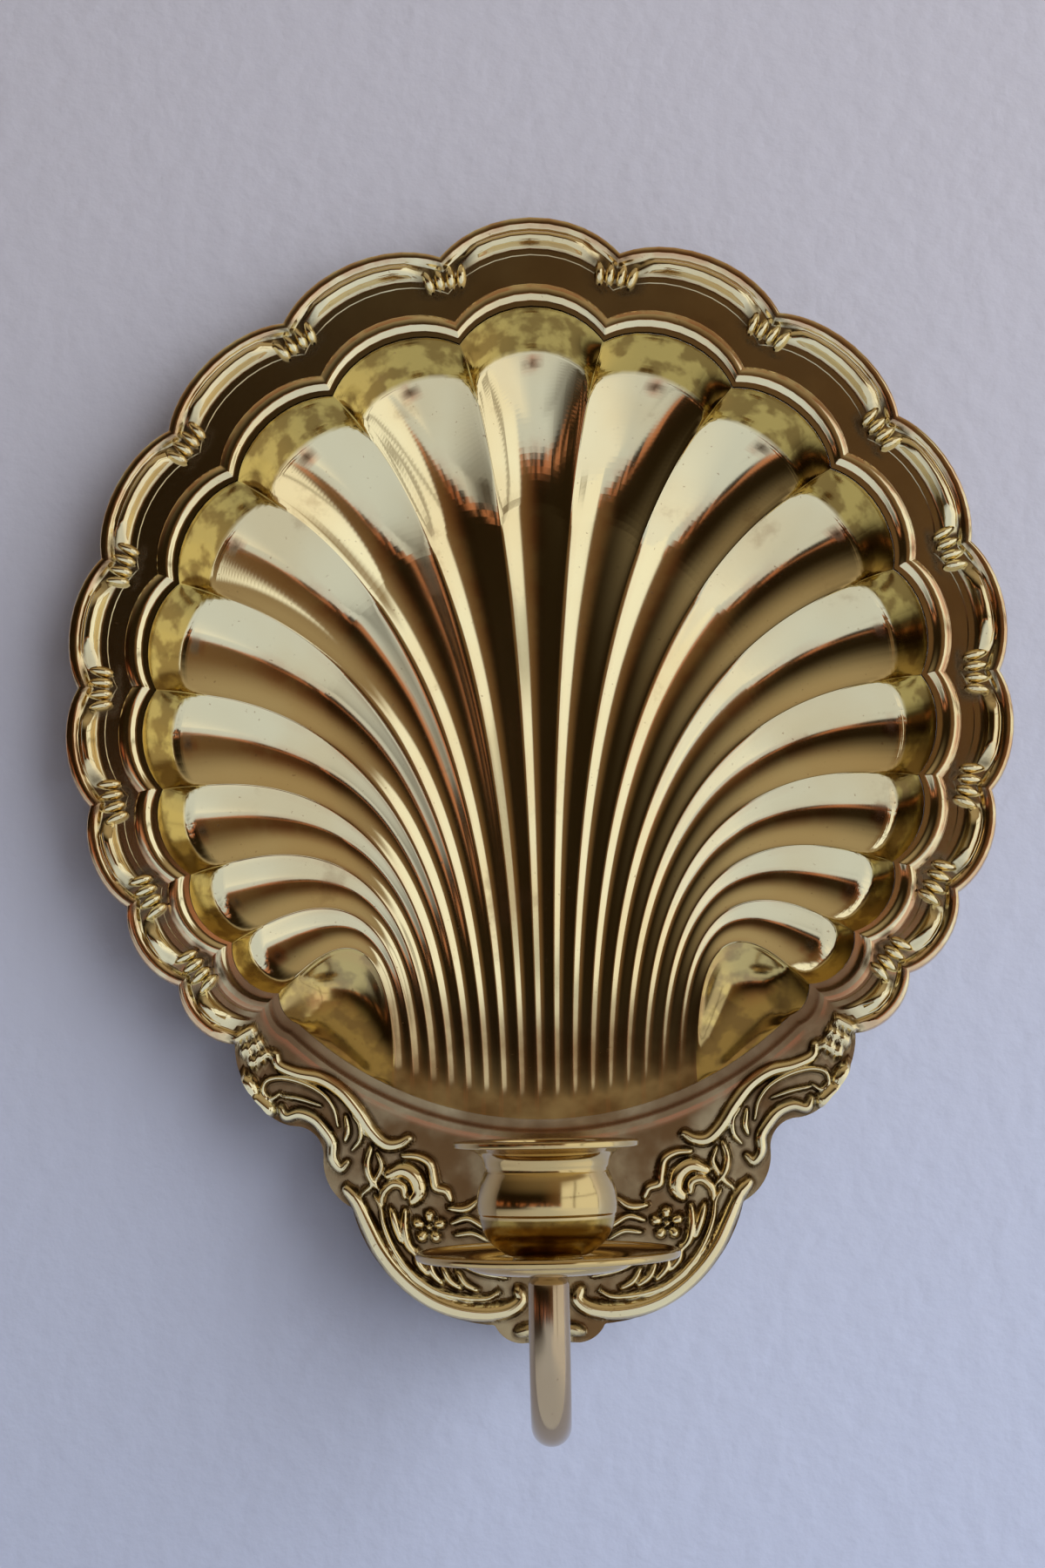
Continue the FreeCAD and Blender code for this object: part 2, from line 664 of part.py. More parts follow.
def draw(sketch, corners, arcs=(), closed=True):
    """Lines from corner to corner; arcs gives {corner: radius} for the stretch that starts there.

    A positive radius turns to the left on its way to the next corner, a negative one to the right.
    """
    arcs = dict(arcs)
    count = len(corners) if closed else len(corners) - 1
    ends = []
    for number in range(count):
        start, stop = corners[number], corners[(number + 1) % len(corners)]
        first, last = flat(start), flat(stop)
        if number not in arcs:
            line = sketch.addGeometry(Part.LineSegment(first, last), False)
            ends.append(((line, 1), (line, 2)))
            continue
        radius = arcs[number]
        chord = last - first
        side = Vector(-chord.y, chord.x, 0).normalize() * math.copysign(1, radius.number)
        away = math.sqrt(radius.number ** 2 - (chord.Length / 2) ** 2)
        centre = first + chord * 0.5 + side * away
        middle = centre - side * abs(radius.number)
        arc = sketch.addGeometry(Part.Arc(first, middle, last), False)
        order = (1, 2) if (sketch.getPoint(arc, 1) - first).Length < 1e-6 else (2, 1)
        ends.append(((arc, order[0]), (arc, order[1])))
        bind(sketch, "Radius", (arc,), radius if radius.number > 0 else -radius)
    for number in range(count - (0 if closed else 1)):
        there = ends[(number + 1) % count][0]
        sketch.addConstraint(Sketcher.Constraint("Coincident", *ends[number][1], *there))
    for number in range(count):
        pin(sketch, ends[number][0], corners[number])
    if not closed:
        pin(sketch, ends[-1][1], corners[-1])


def ring(sketch, radius, centre=(ZERO, ZERO)):
    """A circle."""
    circle = sketch.addGeometry(Part.Circle(flat(centre), Vector(0, 0, 1), radius.number), False)
    bind(sketch, "Radius", (circle,), radius)
    pin(sketch, (circle, 3), centre)


def revolve(body, corners, arcs=()):
    """A full turn of a profile about the body's Z axis; the corners are (radius, height)."""
    sketch = new_sketch(body, body.Name + "_profile", "XZ_Plane")
    draw(sketch, corners, arcs)
    turned = body.newObject("PartDesign::Revolution", body.Name + "_turned")
    turned.Profile = sketch
    turned.ReferenceAxis = (sketch, ["V_Axis"])
    turned.Angle = 360
    doc.recompute()
    return turned


def extend(body, kind, sketch, name, length, reverse=False, midplane=False):
    """Pad or pocket a sketch by a length."""
    feature = body.newObject(f"PartDesign::{kind}", name)
    feature.Profile = sketch
    feature.setExpression("Length", length.text)
    feature.Midplane = midplane
    feature.Reversed = reverse
    doc.recompute()
    return feature


def place(piece, across, back, up):
    """Put a piece at a spot of the part's frame."""
    for letter, dim in zip("xyz", (across, back, up)):
        piece.setExpression(f"Placement.Base.{letter}", dim.text)


def levels(pairs, wide, tall):
    """Corners given as shares of a width and a height."""
    return [(wide * across, tall * up) for across, up in pairs]


# ---------------------------------------------------------------------------------------------
# Arm: a bent rod with a threaded tail and a tapped end
# ---------------------------------------------------------------------------------------------
dip_sin, dip_cos = size["dip_angle"].sin(), size["dip_angle"].cos()
first_bend, last_bend = size["arm_bend"], size["arm_turn"]
slope_run = size["arm_reach"] - size["arm_stub"] - first_bend * dip_sin
slope_run = slope_run - last_bend * (dip_sin + 1)
slope_length = slope_run / dip_cos
bend_end = (-(size["arm_stub"] + first_bend * dip_sin), -(first_bend - first_bend * dip_cos))
slope_end = (bend_end[0] - slope_run, bend_end[1] - slope_length * dip_sin)
turn_end = (-size["arm_reach"], slope_end[1] + last_bend * dip_cos)
arm_top = turn_end[1] + size["arm_rise"]                 # height of the pan's seat


def build_arm():
    """Swept rod, neck, tail and tapped hole; its origin is on the front of the plate."""
    body = new_body("arm")
    path = new_sketch(body, "arm_path", "YZ_Plane")
    corners = [(ZERO, ZERO), (-size["arm_stub"], ZERO), bend_end, slope_end, turn_end,
               (turn_end[0], arm_top - size["arm_neck_height"])]
    draw(path, corners, {1: first_bend, 3: -last_bend}, closed=False)
    rod = new_sketch(body, "arm_rod", "XZ_Plane")
    ring(rod, size["arm_diameter"] / 2)
    sweep = body.newObject("PartDesign::AdditivePipe", "arm_sweep")
    sweep.Profile = rod
    sweep.Spine = (path, [])
    doc.recompute()
    tail = new_sketch(body, "arm_tail_circle", "XZ_Plane")
    ring(tail, size["tail_diameter"] / 2)
    extend(body, "Pad", tail, "arm_tail", size["tail_length"], reverse=True)
    neck = new_sketch(body, "arm_neck_circle", "XY_Plane")
    neck.setExpression("AttachmentOffset.Base.z", (arm_top - size["arm_neck_height"]).text)
    ring(neck, size["arm_neck_radius"], (ZERO, -size["arm_reach"]))
    extend(body, "Pad", neck, "arm_neck", size["arm_neck_height"])
    tap = new_sketch(body, "arm_tap_circle", "XY_Plane")
    tap.setExpression("AttachmentOffset.Base.z", arm_top.text)
    ring(tap, size["screw_diameter"] / 2 + size["thread_gap"], (ZERO, -size["arm_reach"]))
    extend(body, "Pocket", tap, "arm_tap", size["screw_grip"] + 1)
    return body


def build_washer():
    """Flat washer; its origin is on the back of the plate."""
    body = new_body("arm_washer")
    sketch = new_sketch(body, "arm_washer_rings", "XZ_Plane")
    ring(sketch, size["washer_radius"])
    ring(sketch, size["tail_diameter"] / 2 + size["hole_gap"])
    extend(body, "Pad", sketch, "arm_washer_disc", size["washer_thickness"], reverse=True)
    return body


def build_nut():
    """Hexagon nut with chamfered bore; its origin is on the back of the washer."""
    body = new_body("arm_nut")
    sketch = new_sketch(body, "arm_nut_hexagon", "XZ_Plane")
    corner = size["nut_flats"] / math.sqrt(3)
    half = size["nut_flats"] / 2
    draw(sketch, [(corner, ZERO), (corner / 2, half), (-(corner / 2), half),
                  (-corner, ZERO), (-(corner / 2), -half), (corner / 2, -half)])
    ring(sketch, size["tail_diameter"] / 2 + size["thread_gap"])
    extend(body, "Pad", sketch, "arm_nut_block", size["nut_thickness"], reverse=True)
    bevel = body.newObject("PartDesign::Chamfer", "arm_nut_bevel")
    block = body.Group[-2]
    round_edges = [f"Edge{number}" for number, edge in enumerate(block.Shape.Edges, start=1)
                   if edge.Curve.TypeId == "Part::GeomCircle"]
    bevel.Base = (block, round_edges)
    bevel.Size = 0.4
    doc.recompute()
    return body


# ---------------------------------------------------------------------------------------------
# Drip pan, candle cup and the screw that clamps them to the arm
# ---------------------------------------------------------------------------------------------
screw_hole = size["screw_diameter"] / 2 + size["hole_gap"]


def build_pan():
    """Spun pan: a well with a sloping wall, a rising rim and a rolled edge."""
    body = new_body("drip_pan")
    wall, well, deep = size["pan_wall"], size["pan_well_radius"], size["pan_well_depth"]
    rim, bead, lift = size["pan_radius"], size["pan_bead"], size["pan_rise"]
    edge = deep + lift
    low, high = edge - bead * 0.1, edge + bead * 0.9
    corners = [(screw_hole, ZERO), (well - deep * 1.3, ZERO), (well, deep), (rim - bead, edge),
               (rim - bead * 0.6, low), (rim - bead * 0.25, low), (rim, low + bead * 0.25),
               (rim, high - bead * 0.25), (rim - bead * 0.25, high), (rim - bead * 0.75, high),
               (rim - bead, edge + wall), (well - deep * 0.2, deep + wall),
               (well - deep * 1.5, wall), (screw_hole, wall)]
    revolve(body, corners)
    return body


CUP_OUTSIDE = [               # corners as shares of the body's radius and of the cup's height
    (0.475, 0.085),           # waist over the foot
    (0.730, 0.135),
    (0.915, 0.250),
    (0.980, 0.400),           # sharp crease round the body
    (1.000, 0.430),
    (1.007, 0.520),
    (0.960, 0.665),
    (0.892, 0.755),           # V-groove
    (0.870, 0.775),
    (0.892, 0.795),
    (0.935, 0.875),           # cove under the flange
]


def build_cup():
    """Turned cup: foot, belly, groove, cove and flat flange, bored for the candle."""
    body = new_body("candle_cup")
    tall, belly = size["cup_height"], size["cup_body_radius"]
    bore = size["bore_radius"]
    foot, flange = size["cup_foot_radius"], size["cup_flange_radius"]
    floor = tall - size["candle_depth"]
    sink = size["screw_head_radius"] + size["head_gap"]
    under = tall - size["cup_flange_edge"]
    corners = [(screw_hole, ZERO), (foot, ZERO), (foot, size["cup_foot_height"])]
    corners += levels(CUP_OUTSIDE, belly, tall)
    corners += [(flange - (flange - size["cup_neck_radius"]) * 0.45, under - 0.35),
                (flange, under), (flange, tall), (bore, tall), (bore, floor), (sink, floor),
                (sink, floor - size["screw_head_height"]),
                (screw_hole, floor - size["screw_head_height"])]
    revolve(body, corners)
    return body


def build_screw():
    """Slotted screw, its head sunk in the cup's floor; its origin is under the head."""
    body = new_body("cup_screw")
    head, high = size["screw_head_radius"], size["screw_head_height"]
    shank = size["screw_diameter"] / 2
    cup_bottom = size["cup_height"] - size["candle_depth"] - high
    tip = -(cup_bottom + size["pan_wall"] + size["screw_grip"])
    corners = [(ZERO, tip), (shank * 0.7, tip), (shank, tip + shank * 0.5), (shank, ZERO),
               (head, ZERO), (head, high * 0.5), (head * 0.6, high), (ZERO, high)]
    revolve(body, corners)
    slot = new_sketch(body, "cup_screw_slot", "XZ_Plane")
    half, low = size["slot_width"] / 2, high - size["slot_depth"]
    draw(slot, [(-half, low), (half, low), (half, high + 1), (-half, high + 1)])
    extend(body, "Pocket", slot, "cup_screw_cut", head * 2 + 2, midplane=True)
    return body


# ---------------------------------------------------------------------------------------------
# Hanging strap soldered to the back of the brim
# ---------------------------------------------------------------------------------------------
LEG_LEAN = 0.12           # how far a leg leans outward, as a share of its height


def build_strap():
    """Hat-shaped strap with the hanging eye; its origin is the eye's centre on the wall."""
    body = new_body("hanger_strap")
    thick, span = size["strap_thickness"], size["strap_span"] / 2
    tall = size["standoff"] - size["sheet"]
    lean = tall * LEG_LEAN
    right = [(span, ZERO), (span + lean, -(tall - thick)),
             (span + lean + size["strap_foot"], -(tall - thick)),
             (span + lean + size["strap_foot"], -tall), (span + lean - thick, -tall),
             (span - thick, -thick)]
    left = [(-across, back) for across, back in reversed(right)]
    sketch = new_sketch(body, "hanger_strap_profile", "XY_Plane")
    draw(sketch, right + left)
    extend(body, "Pad", sketch, "hanger_strap_strip", size["strap_width"], midplane=True)
    eye = new_sketch(body, "hanger_strap_eye", "XZ_Plane")
    ring(eye, size["eye_diameter"] / 2)
    extend(body, "Pocket", eye, "hanger_strap_hole", thick * 4, midplane=True)
    return body


# ---------------------------------------------------------------------------------------------
# The assembly in the part's frame
# ---------------------------------------------------------------------------------------------
brim = -size["standoff"]
arm_level = -(size["eye_height"] + size["arm_height"])
seat = arm_level + arm_top
axis = brim - size["arm_reach"]
head_seat = seat + size["pan_wall"] + size["cup_height"] - size["candle_depth"]
head_seat = head_seat - size["screw_head_height"]

place(plate, ZERO, brim, -size["eye_height"])
PLACES = [
    (build_strap, ZERO, ZERO, ZERO),
    (build_arm, ZERO, brim, arm_level),
    (build_washer, ZERO, brim + size["sheet"], arm_level),
    (build_nut, ZERO, brim + size["sheet"] + size["washer_thickness"], arm_level),
    (build_pan, ZERO, axis, seat),
    (build_cup, ZERO, axis, seat + size["pan_wall"]),
    (build_screw, ZERO, axis, head_seat),
]
pieces = [plate]
for build, across, back, up in PLACES:
    piece = build()
    place(piece, across, back, up)
    pieces.append(piece)
doc.recompute()

# ---------------------------------------------------------------------------------------------
# Checks and files
# ---------------------------------------------------------------------------------------------
for item in doc.Objects:
    faults = [state for state in item.State if state in ("Invalid", "Error")]
    if faults:
        raise RuntimeError(f"{item.Name}: {faults}")
os.makedirs("parts", exist_ok=True)
for piece in pieces:
    shape = piece.Shape
    if shape.isNull() or not shape.isValid() or len(shape.Solids) != 1:
        raise RuntimeError(f"{piece.Label}: no single valid solid")
    box = shape.optimalBoundingBox()
    print(f"{piece.Label}: volume {shape.Volume:.0f}, X {box.XMin:.2f} {box.XMax:.2f}, "
          f"Y {box.YMin:.2f} {box.YMax:.2f}, Z {box.ZMin:.2f} {box.ZMax:.2f}")
    shape.exportStep(f"parts/{piece.Label}.step")
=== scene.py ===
# %% [markdown]
# # Shell wall sconce
#
# A pressed brass scallop plate hangs on a wall by a strap. A bent rod carries a drip pan and a
# candle cup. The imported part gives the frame: X to the right, Y into the wall, Z up, in metres,
# with the origin in the hanging eye. This script shows the small fittings as they are packed and
# builds finer pieces for the plate, the arm, the pan and the cup on the same sizes.

# %% Load the frame
import math

import bpy
import numpy as np
from mathutils import Matrix, Vector


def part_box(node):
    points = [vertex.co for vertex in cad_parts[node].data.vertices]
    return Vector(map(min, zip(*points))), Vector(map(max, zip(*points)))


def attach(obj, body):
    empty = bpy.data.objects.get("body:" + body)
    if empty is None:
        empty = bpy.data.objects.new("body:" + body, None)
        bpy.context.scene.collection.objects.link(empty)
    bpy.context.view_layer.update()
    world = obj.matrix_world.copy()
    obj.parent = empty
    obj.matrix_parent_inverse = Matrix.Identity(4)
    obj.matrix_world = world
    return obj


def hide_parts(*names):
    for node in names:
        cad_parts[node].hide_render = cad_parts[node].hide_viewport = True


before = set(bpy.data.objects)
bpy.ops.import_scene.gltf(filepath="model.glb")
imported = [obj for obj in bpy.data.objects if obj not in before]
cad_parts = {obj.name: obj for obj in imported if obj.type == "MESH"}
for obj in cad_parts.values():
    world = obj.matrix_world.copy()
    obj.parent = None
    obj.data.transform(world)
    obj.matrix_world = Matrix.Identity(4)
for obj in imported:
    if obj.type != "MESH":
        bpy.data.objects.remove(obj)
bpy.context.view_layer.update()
print("nodes:", sorted(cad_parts))

# %% [markdown]
# ## Sizes
#
# The plate is drawn about the centre of its round rim: x to the right, z up and height towards
# the room, measured from the front of the flat brim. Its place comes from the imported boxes, and
# its own driving sizes are those of the part.

# %% Sizes of the plate
MM = 0.001

sheet = 1.0 * MM                      # thickness of the brass
rim_radius = 111 * MM                 # circle through the cusps between the rim's lobes
lobe_rise = 3.2 * MM                  # how far a side lobe stands out beyond its cusps
top_lobe_extra = 4.4 * MM             # how much further the top lobe stands out
top_span, span_step = 23.6, 1.71      # degrees: the top lobe, and how much each next one loses
lobes_a_side = 8
bowl_radius = 92.4 * MM               # circle through the cusps of the bowl's edge
bowl_drop = 4 * MM                    # how far that circle's centre lies below the rim's
bowl_depth = 12.5 * MM                # depth of the ridges between the flutes
toe_radius = 84 * MM                  # arc of the bowl's lower edge
toe_bottom = 102.35 * MM              # its lowest point
rib_pitch = 4.2 * MM                  # width of a flute at the lower edge
crest_rise, side_rise = 164 * MM, 58 * MM   # how far the middle and the last ridge climb
lip_width = 3.2 * MM
lip_drop = 1.2 * MM
moulding_width = 9 * MM
moulding_height = 3.3 * MM

plate_low, plate_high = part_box("shell_plate")
brim_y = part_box("arm_washer")[0].y - sheet
rim_centre_z = plate_high.z - rim_radius - lobe_rise - top_lobe_extra
foot_z = plate_low.z - rim_centre_z
print("brim", round(brim_y, 5), "rim centre", round(rim_centre_z, 5))

# %% [markdown]
# ## Camera
#
# The photograph was taken from near by, so the cup's flange is seen almost on edge while the
# shell above it is seen from below. The place was found by matching the plate's outline and the
# cup. It could be set with a constraint that looks at a point, but a plain matrix also holds the
# small roll. The lens is 50 mm on a frame 36 mm high.

# %% Camera
camera_aside, camera_away, camera_below = 0.8 * MM, 516 * MM, 93.65 * MM
camera_place = Vector((camera_aside, brim_y - camera_away, rim_centre_z - camera_below))
camera_pitch, camera_turn, camera_roll = (math.radians(a) for a in (7.8, 0.55, -1.02))

ahead = Vector((-math.sin(camera_turn) * math.cos(camera_pitch),
                math.cos(camera_turn) * math.cos(camera_pitch), math.sin(camera_pitch)))
level = Vector((math.cos(camera_turn), math.sin(camera_turn), 0))
upright = level.cross(ahead)
right = level * math.cos(camera_roll) + upright * math.sin(camera_roll)
above = upright * math.cos(camera_roll) - level * math.sin(camera_roll)

lens = bpy.data.cameras.new("camera")
lens.lens = 50
lens.sensor_fit = "VERTICAL"
lens.sensor_width = lens.sensor_height = 36
lens.clip_start = 0.01
camera = bpy.data.objects.new("camera", lens)
bpy.context.scene.collection.objects.link(camera)
turned = Matrix((right, above, -ahead)).transposed()
camera.matrix_world = Matrix.Translation(camera_place) @ turned.to_4x4()
bpy.context.scene.camera = camera
print("camera at", [round(part, 3) for part in camera_place])

# %% [markdown]
# ## Mesh helpers
#
# Most pieces are grids of points: rows by columns. A sculpted mesh could have the same form, but a
# grid keeps every ridge and lobe on known rows and columns, so its sizes stay numbers. One helper
# turns grids into a smooth mesh and welds the seams where two grids share their edge. A mesh can
# also carry marks: named values per point that a material reads, such as where dirt stays.

# %% Mesh helpers


def grid_faces(rows, columns, start=0, flip=False):
    """Quads of a grid of points stored row by row."""
    corner = (np.arange(rows - 1)[:, None] * columns + np.arange(columns - 1)).ravel() + start
    ring = [corner, corner + 1, corner + columns + 1, corner + columns]
    return np.stack(ring[::-1] if flip else ring, axis=1)


def mesh_object(name, grids, flips, marks=None, weld=1e-6):
    """One smooth object from grids shaped (rows, columns, 3); flips turns a grid's faces round."""
    faces, start = [], 0
    for grid, flip in zip(grids, flips):
        faces.append(grid_faces(grid.shape[0], grid.shape[1], start, flip))
        start += grid.shape[0] * grid.shape[1]
    faces = np.concatenate(faces)
    points = np.concatenate([grid.reshape(-1, 3) for grid in grids])
    _, first, where = np.unique(np.round(points / weld).astype(np.int64), axis=0,
                                return_index=True, return_inverse=True)
    faces = where.ravel()[faces]
    mesh = bpy.data.meshes.new(name)
    mesh.vertices.add(len(first))
    mesh.vertices.foreach_set("co", points[first].ravel())
    mesh.loops.add(faces.size)
    mesh.loops.foreach_set("vertex_index", faces.ravel().astype(np.int32))
    mesh.polygons.add(len(faces))
    mesh.polygons.foreach_set("loop_start", np.arange(0, faces.size, 4, dtype=np.int32))
    mesh.polygons.foreach_set("loop_total", np.full(len(faces), 4, dtype=np.int32))
    mesh.update(calc_edges=True)
    mesh.validate(clean_customdata=False)
    mesh.shade_smooth()
    for mark, values in (marks or {}).items():
        held = mesh.attributes.new(mark, "FLOAT", "POINT")
        held.data.foreach_set("value", np.concatenate([v.ravel() for v in values])[first])
    made = bpy.data.objects.new(name, mesh)
    bpy.context.scene.collection.objects.link(made)
    return made


def smooth_step(value, low, high):
    """0 below low, 1 above high, and a soft slope between."""
    share = np.clip((value - low) / (high - low), 0, 1)
    return share * share * (3 - 2 * share)


def smooth_least(first, second, soft):
    """The smaller of two values, rounded over where they cross."""
    return (first + second - np.sqrt((first - second) ** 2 + soft ** 2)) / 2


def smooth_most(first, second, soft):
    """The larger of two values, rounded over where they cross."""
    return (first + second + np.sqrt((first - second) ** 2 + soft ** 2)) / 2


# %% [markdown]
# ## The shell's bowl
#
# Seventeen flutes run between ridges, one to each lobe of the scalloped edge, with a smooth panel
# at either side. A ridge starts on the bowl's lower edge, climbs straight up and turns outward to
# a cusp of the edge. Between two ridges a flute is a shallow trough, and at its tip a steep wall
# rises to the edge. A die presses all of it at once. Here the ridges come first, as curves, and
# the flutes are spanned between them, so neighbours always share their border.

# %% Ridges


def polar(angle, radius):
    """Points at angles in degrees from straight up, as (x, z)."""
    turn = np.radians(angle)
    return np.stack([radius * np.sin(turn), radius * np.cos(turn)], axis=-1)


def cusp_angle(border):
    """Angle of the cusp at border 0.5, 1.5 ... either side of the top lobe."""
    count = np.abs(border)
    return np.sign(border) * (top_span * count - span_step / 2 * count ** 2)


def bowl_cusp_radius(angle):
    """Distance from the rim's centre to the bowl's cusp circle."""
    turn = np.radians(angle)
    return (np.sqrt(bowl_radius ** 2 - (bowl_drop * np.sin(turn)) ** 2)
            - bowl_drop * np.cos(turn))


toe_centre = np.array([0, toe_radius - toe_bottom])
last_border = lobes_a_side + 0.5
panel_foot = 1.0                      # foot of a smooth side panel, in ribs past the last ridge
panel_tip = 0.69                      # its tip, as the sine of the angle round the lower edge


def toe_point(turn):
    """Points on the bowl's lower edge, at an angle in radians from straight down."""
    return toe_centre + toe_radius * np.stack([np.sin(turn), -np.cos(turn)], axis=-1)


def ridge_path(border, samples=200):
    """Points along a ridge, from the lower edge to its cusp, evenly spaced."""
    if abs(border) > last_border:
        start = math.asin(rib_pitch * (last_border + panel_foot) / toe_radius)
        return toe_point(np.sign(border) * np.linspace(start, math.asin(panel_tip), samples))
    foot = toe_point(math.asin(rib_pitch * border / toe_radius))
    angle = cusp_angle(border)
    cusp = polar(angle, bowl_cusp_radius(angle))
    share = (abs(border) - 0.5) / lobes_a_side
    top = foot + [0, crest_rise + (side_rise - crest_rise) * share]
    far = np.linspace(0, 1, samples)[:, None]
    near = 1 - far
    path = foot * near ** 3 + top * (3 * near ** 2 * far) + cusp * (3 * near * far ** 2 + far ** 3)
    return even(path, samples)


def lengths(path):
    """Distance of each point along a path from its start."""
    steps = np.linalg.norm(np.diff(path, axis=0), axis=1)
    return np.concatenate([[0], np.cumsum(steps)])


def even(path, samples):
    """The same path in evenly spaced points."""
    run = lengths(path)
    where = np.linspace(0, run[-1], samples)
    return np.stack([np.interp(where, run, path[:, axis]) for axis in range(path.shape[1])], 1)


# %% [markdown]
# The samples along a flute lie closer together at the toe and at the tip, where the form turns
# fastest. Depth is the smaller of two things: the trough's floor, and the wall that rises to the
# edge from it. Towards the tip the floor sweeps up like a spoon. A part of that sweep is in the
# mesh, and the rest is the mark "lift", which the brass reads as a bump. Two more marks start
# here. One is a deeper gold in the coves: raw metal that no polish reaches, and a painted
# reflection of brass in brass. The other is brown near the toe: an old patina, and painted shade
# where the toe shows the dim room.

# %% Flutes
flute_rows, flute_columns = 150, 17
wall_slope, ridge_slope = 1.6, 0.70   # rise of the end wall: in a flute's middle, at a ridge
panel_slope = toe_slope = 0.9         # the same for a side panel's end and for the toe
flute_ratio, panel_ratio = 0.17, 0.30       # depth of a trough over its width: flute, panel
crest_width, crest_share = 1.3 * MM, 0.10   # a ridge's round back: at most, and over the width
spoon_reach, spoon_share = 46 * MM, 0.45    # length of the sweep: at most, and over the flute's
sweep_power = 1.6                     # how late the sweep comes
mesh_sweep = 0.24                     # share of its depth that the floor loses at the tip
lift_sweep, lift_fade = 0.48, 0.035   # the same in the bump, and how much less for each lobe
lift_end = 8 * MM                     # the bump ends over this length before the end wall
panel_raw = 0.8                       # how unpolished a side panel is
toe_patina_and_shade = 0.9                          # how brown the flutes' feet are
toe_shade_full, toe_shade_none = 16 * MM, 34 * MM

row_share = np.linspace(0, 1, flute_rows)
row_share = row_share - 0.75 * np.sin(2 * math.pi * row_share) / (2 * math.pi)
across = (1 - np.cos(np.linspace(0, math.pi, flute_columns))) / 2


def rise_of(lobe):
    """How far a lobe stands out beyond its cusps; the extra halves from lobe to lobe."""
    return lobe_rise + top_lobe_extra * 0.5 ** abs(lobe)


def lobe_curve(lobe, start_radius, end_radius, share):
    """One scallop between two cusps, its middle standing out by the lobe's rise."""
    start, end = cusp_angle(lobe - 0.5), cusp_angle(lobe + 0.5)
    half = math.radians(end - start) / 2
    cusps = (start_radius + end_radius) / 2
    reach = 8 * (cusps + rise_of(lobe)) - 2 * cusps * math.cos(half)
    reach /= 6 * math.cos(half * 0.46)
    poles = [polar(start, start_radius), polar(start + (end - start) * 0.27, reach),
             polar(end - (end - start) * 0.27, reach), polar(end, end_radius)]
    rest = 1 - share
    weights = [rest ** 3, 3 * rest ** 2 * share, 3 * rest * share ** 2, share ** 3]
    return sum(weight[:, None] * pole for weight, pole in zip(weights, poles))


def ridge_points(border):
    """A ridge at the flutes' rows."""
    path = ridge_path(border)
    where = row_share * (len(path) - 1)
    return np.stack([np.interp(where, np.arange(len(path)), path[:, axis]) for axis in (0, 1)], 1)


def ridge_depth(border, up):
    """Depth of a ridge below the brim, without the end wall; up is its share from toe to tip."""
    if abs(border) > last_border:
        return np.full_like(up, lip_drop)
    deep = bowl_depth * (1 - 0.42 * (abs(border) / last_border) ** 2) - lip_drop
    toe = np.sqrt(np.clip(1 - (1 - np.clip(up / 0.5, 0, 1)) ** 2, 0, 1))
    return lip_drop + deep * toe * (1 - 0.08 * smooth_step(up, 0.6, 1.0))


def flute_grid(lobe):
    """A flute's plan points (rows, columns, 2), heights, and marks: deep gold, brown, lift."""
    left, right_side = ridge_points(lobe - 0.5), ridge_points(lobe + 0.5)
    panel = abs(lobe) > lobes_a_side
    ends = np.linalg.norm(left[-1]), np.linalg.norm(right_side[-1])
    chord = left[-1] + (right_side[-1] - left[-1]) * across[:, None]
    if panel:
        out = (left[-1] + right_side[-1]) / 2 - toe_centre
        out = out / np.linalg.norm(out)
        edge = chord + out * (lobe_rise * 0.6 * 3 * across * (1 - across))[:, None]
    else:
        edge = lobe_curve(lobe, *ends, across)
    bulge = smooth_step(row_share, 0.55, 1.0)[:, None, None] * (edge - chord)[None]
    plan = left[:, None] + (right_side - left)[:, None] * across[None, :, None] + bulge

    width = np.linalg.norm(right_side - left, axis=1)[:, None]
    up = row_share[:, None]
    ridge = (ridge_depth(lobe - 0.5, up) * (1 - across) + ridge_depth(lobe + 0.5, up) * across)
    trough = 4 * (panel_ratio if panel else flute_ratio) * width * across * (1 - across)
    back = np.minimum(crest_width, crest_share * width)
    trough = np.sqrt(trough ** 2 + back ** 2) - back
    if panel:
        trough = trough * smooth_step(up, 0.0, 0.25)
    steps = np.linalg.norm(np.diff(plan, axis=0), axis=2)
    from_toe = np.concatenate([np.zeros((1, flute_columns)), np.cumsum(steps, axis=0)])
    from_tip = from_toe[-1] - from_toe
    floor = ridge + trough
    lift = np.zeros(floor.shape)
    if not panel:
        reach = np.minimum(spoon_reach, spoon_share * from_toe[-1])
        sweep = np.clip(1 - from_tip / reach, 0, 1) ** sweep_power
        lift = (lift_sweep - lift_fade * abs(lobe)) * floor * sweep
        lift = lift * smooth_step(from_tip, 0, lift_end)
        floor = floor * (1 - mesh_sweep * sweep)
    slope = ridge_slope + (wall_slope - ridge_slope) * (4 * across * (1 - across)) ** 0.6
    end_wall = lip_drop + (panel_slope if panel else slope) * from_tip
    depth = smooth_least(floor, end_wall, 0.25 * MM)
    depth = smooth_least(depth, lip_drop + toe_slope * from_toe, 0.5 * MM)
    # The coves take a deeper gold: raw metal that no polish reaches, and a painted reflection of
    # brass in brass.
    in_cove = smooth_step(floor - end_wall, -0.3 * MM, 0.3 * MM)
    raw_and_reflection = np.full(depth.shape, panel_raw) if panel else in_cove
    # Brown near the toe: patina, and painted shade where the toe shows the dim room.
    patina_and_shade = toe_patina_and_shade * (1 - smooth_step(from_toe, toe_shade_full, toe_shade_none))
    return plan, -np.maximum(depth, lip_drop * 0.9), raw_and_reflection, patina_and_shade * (not panel), lift


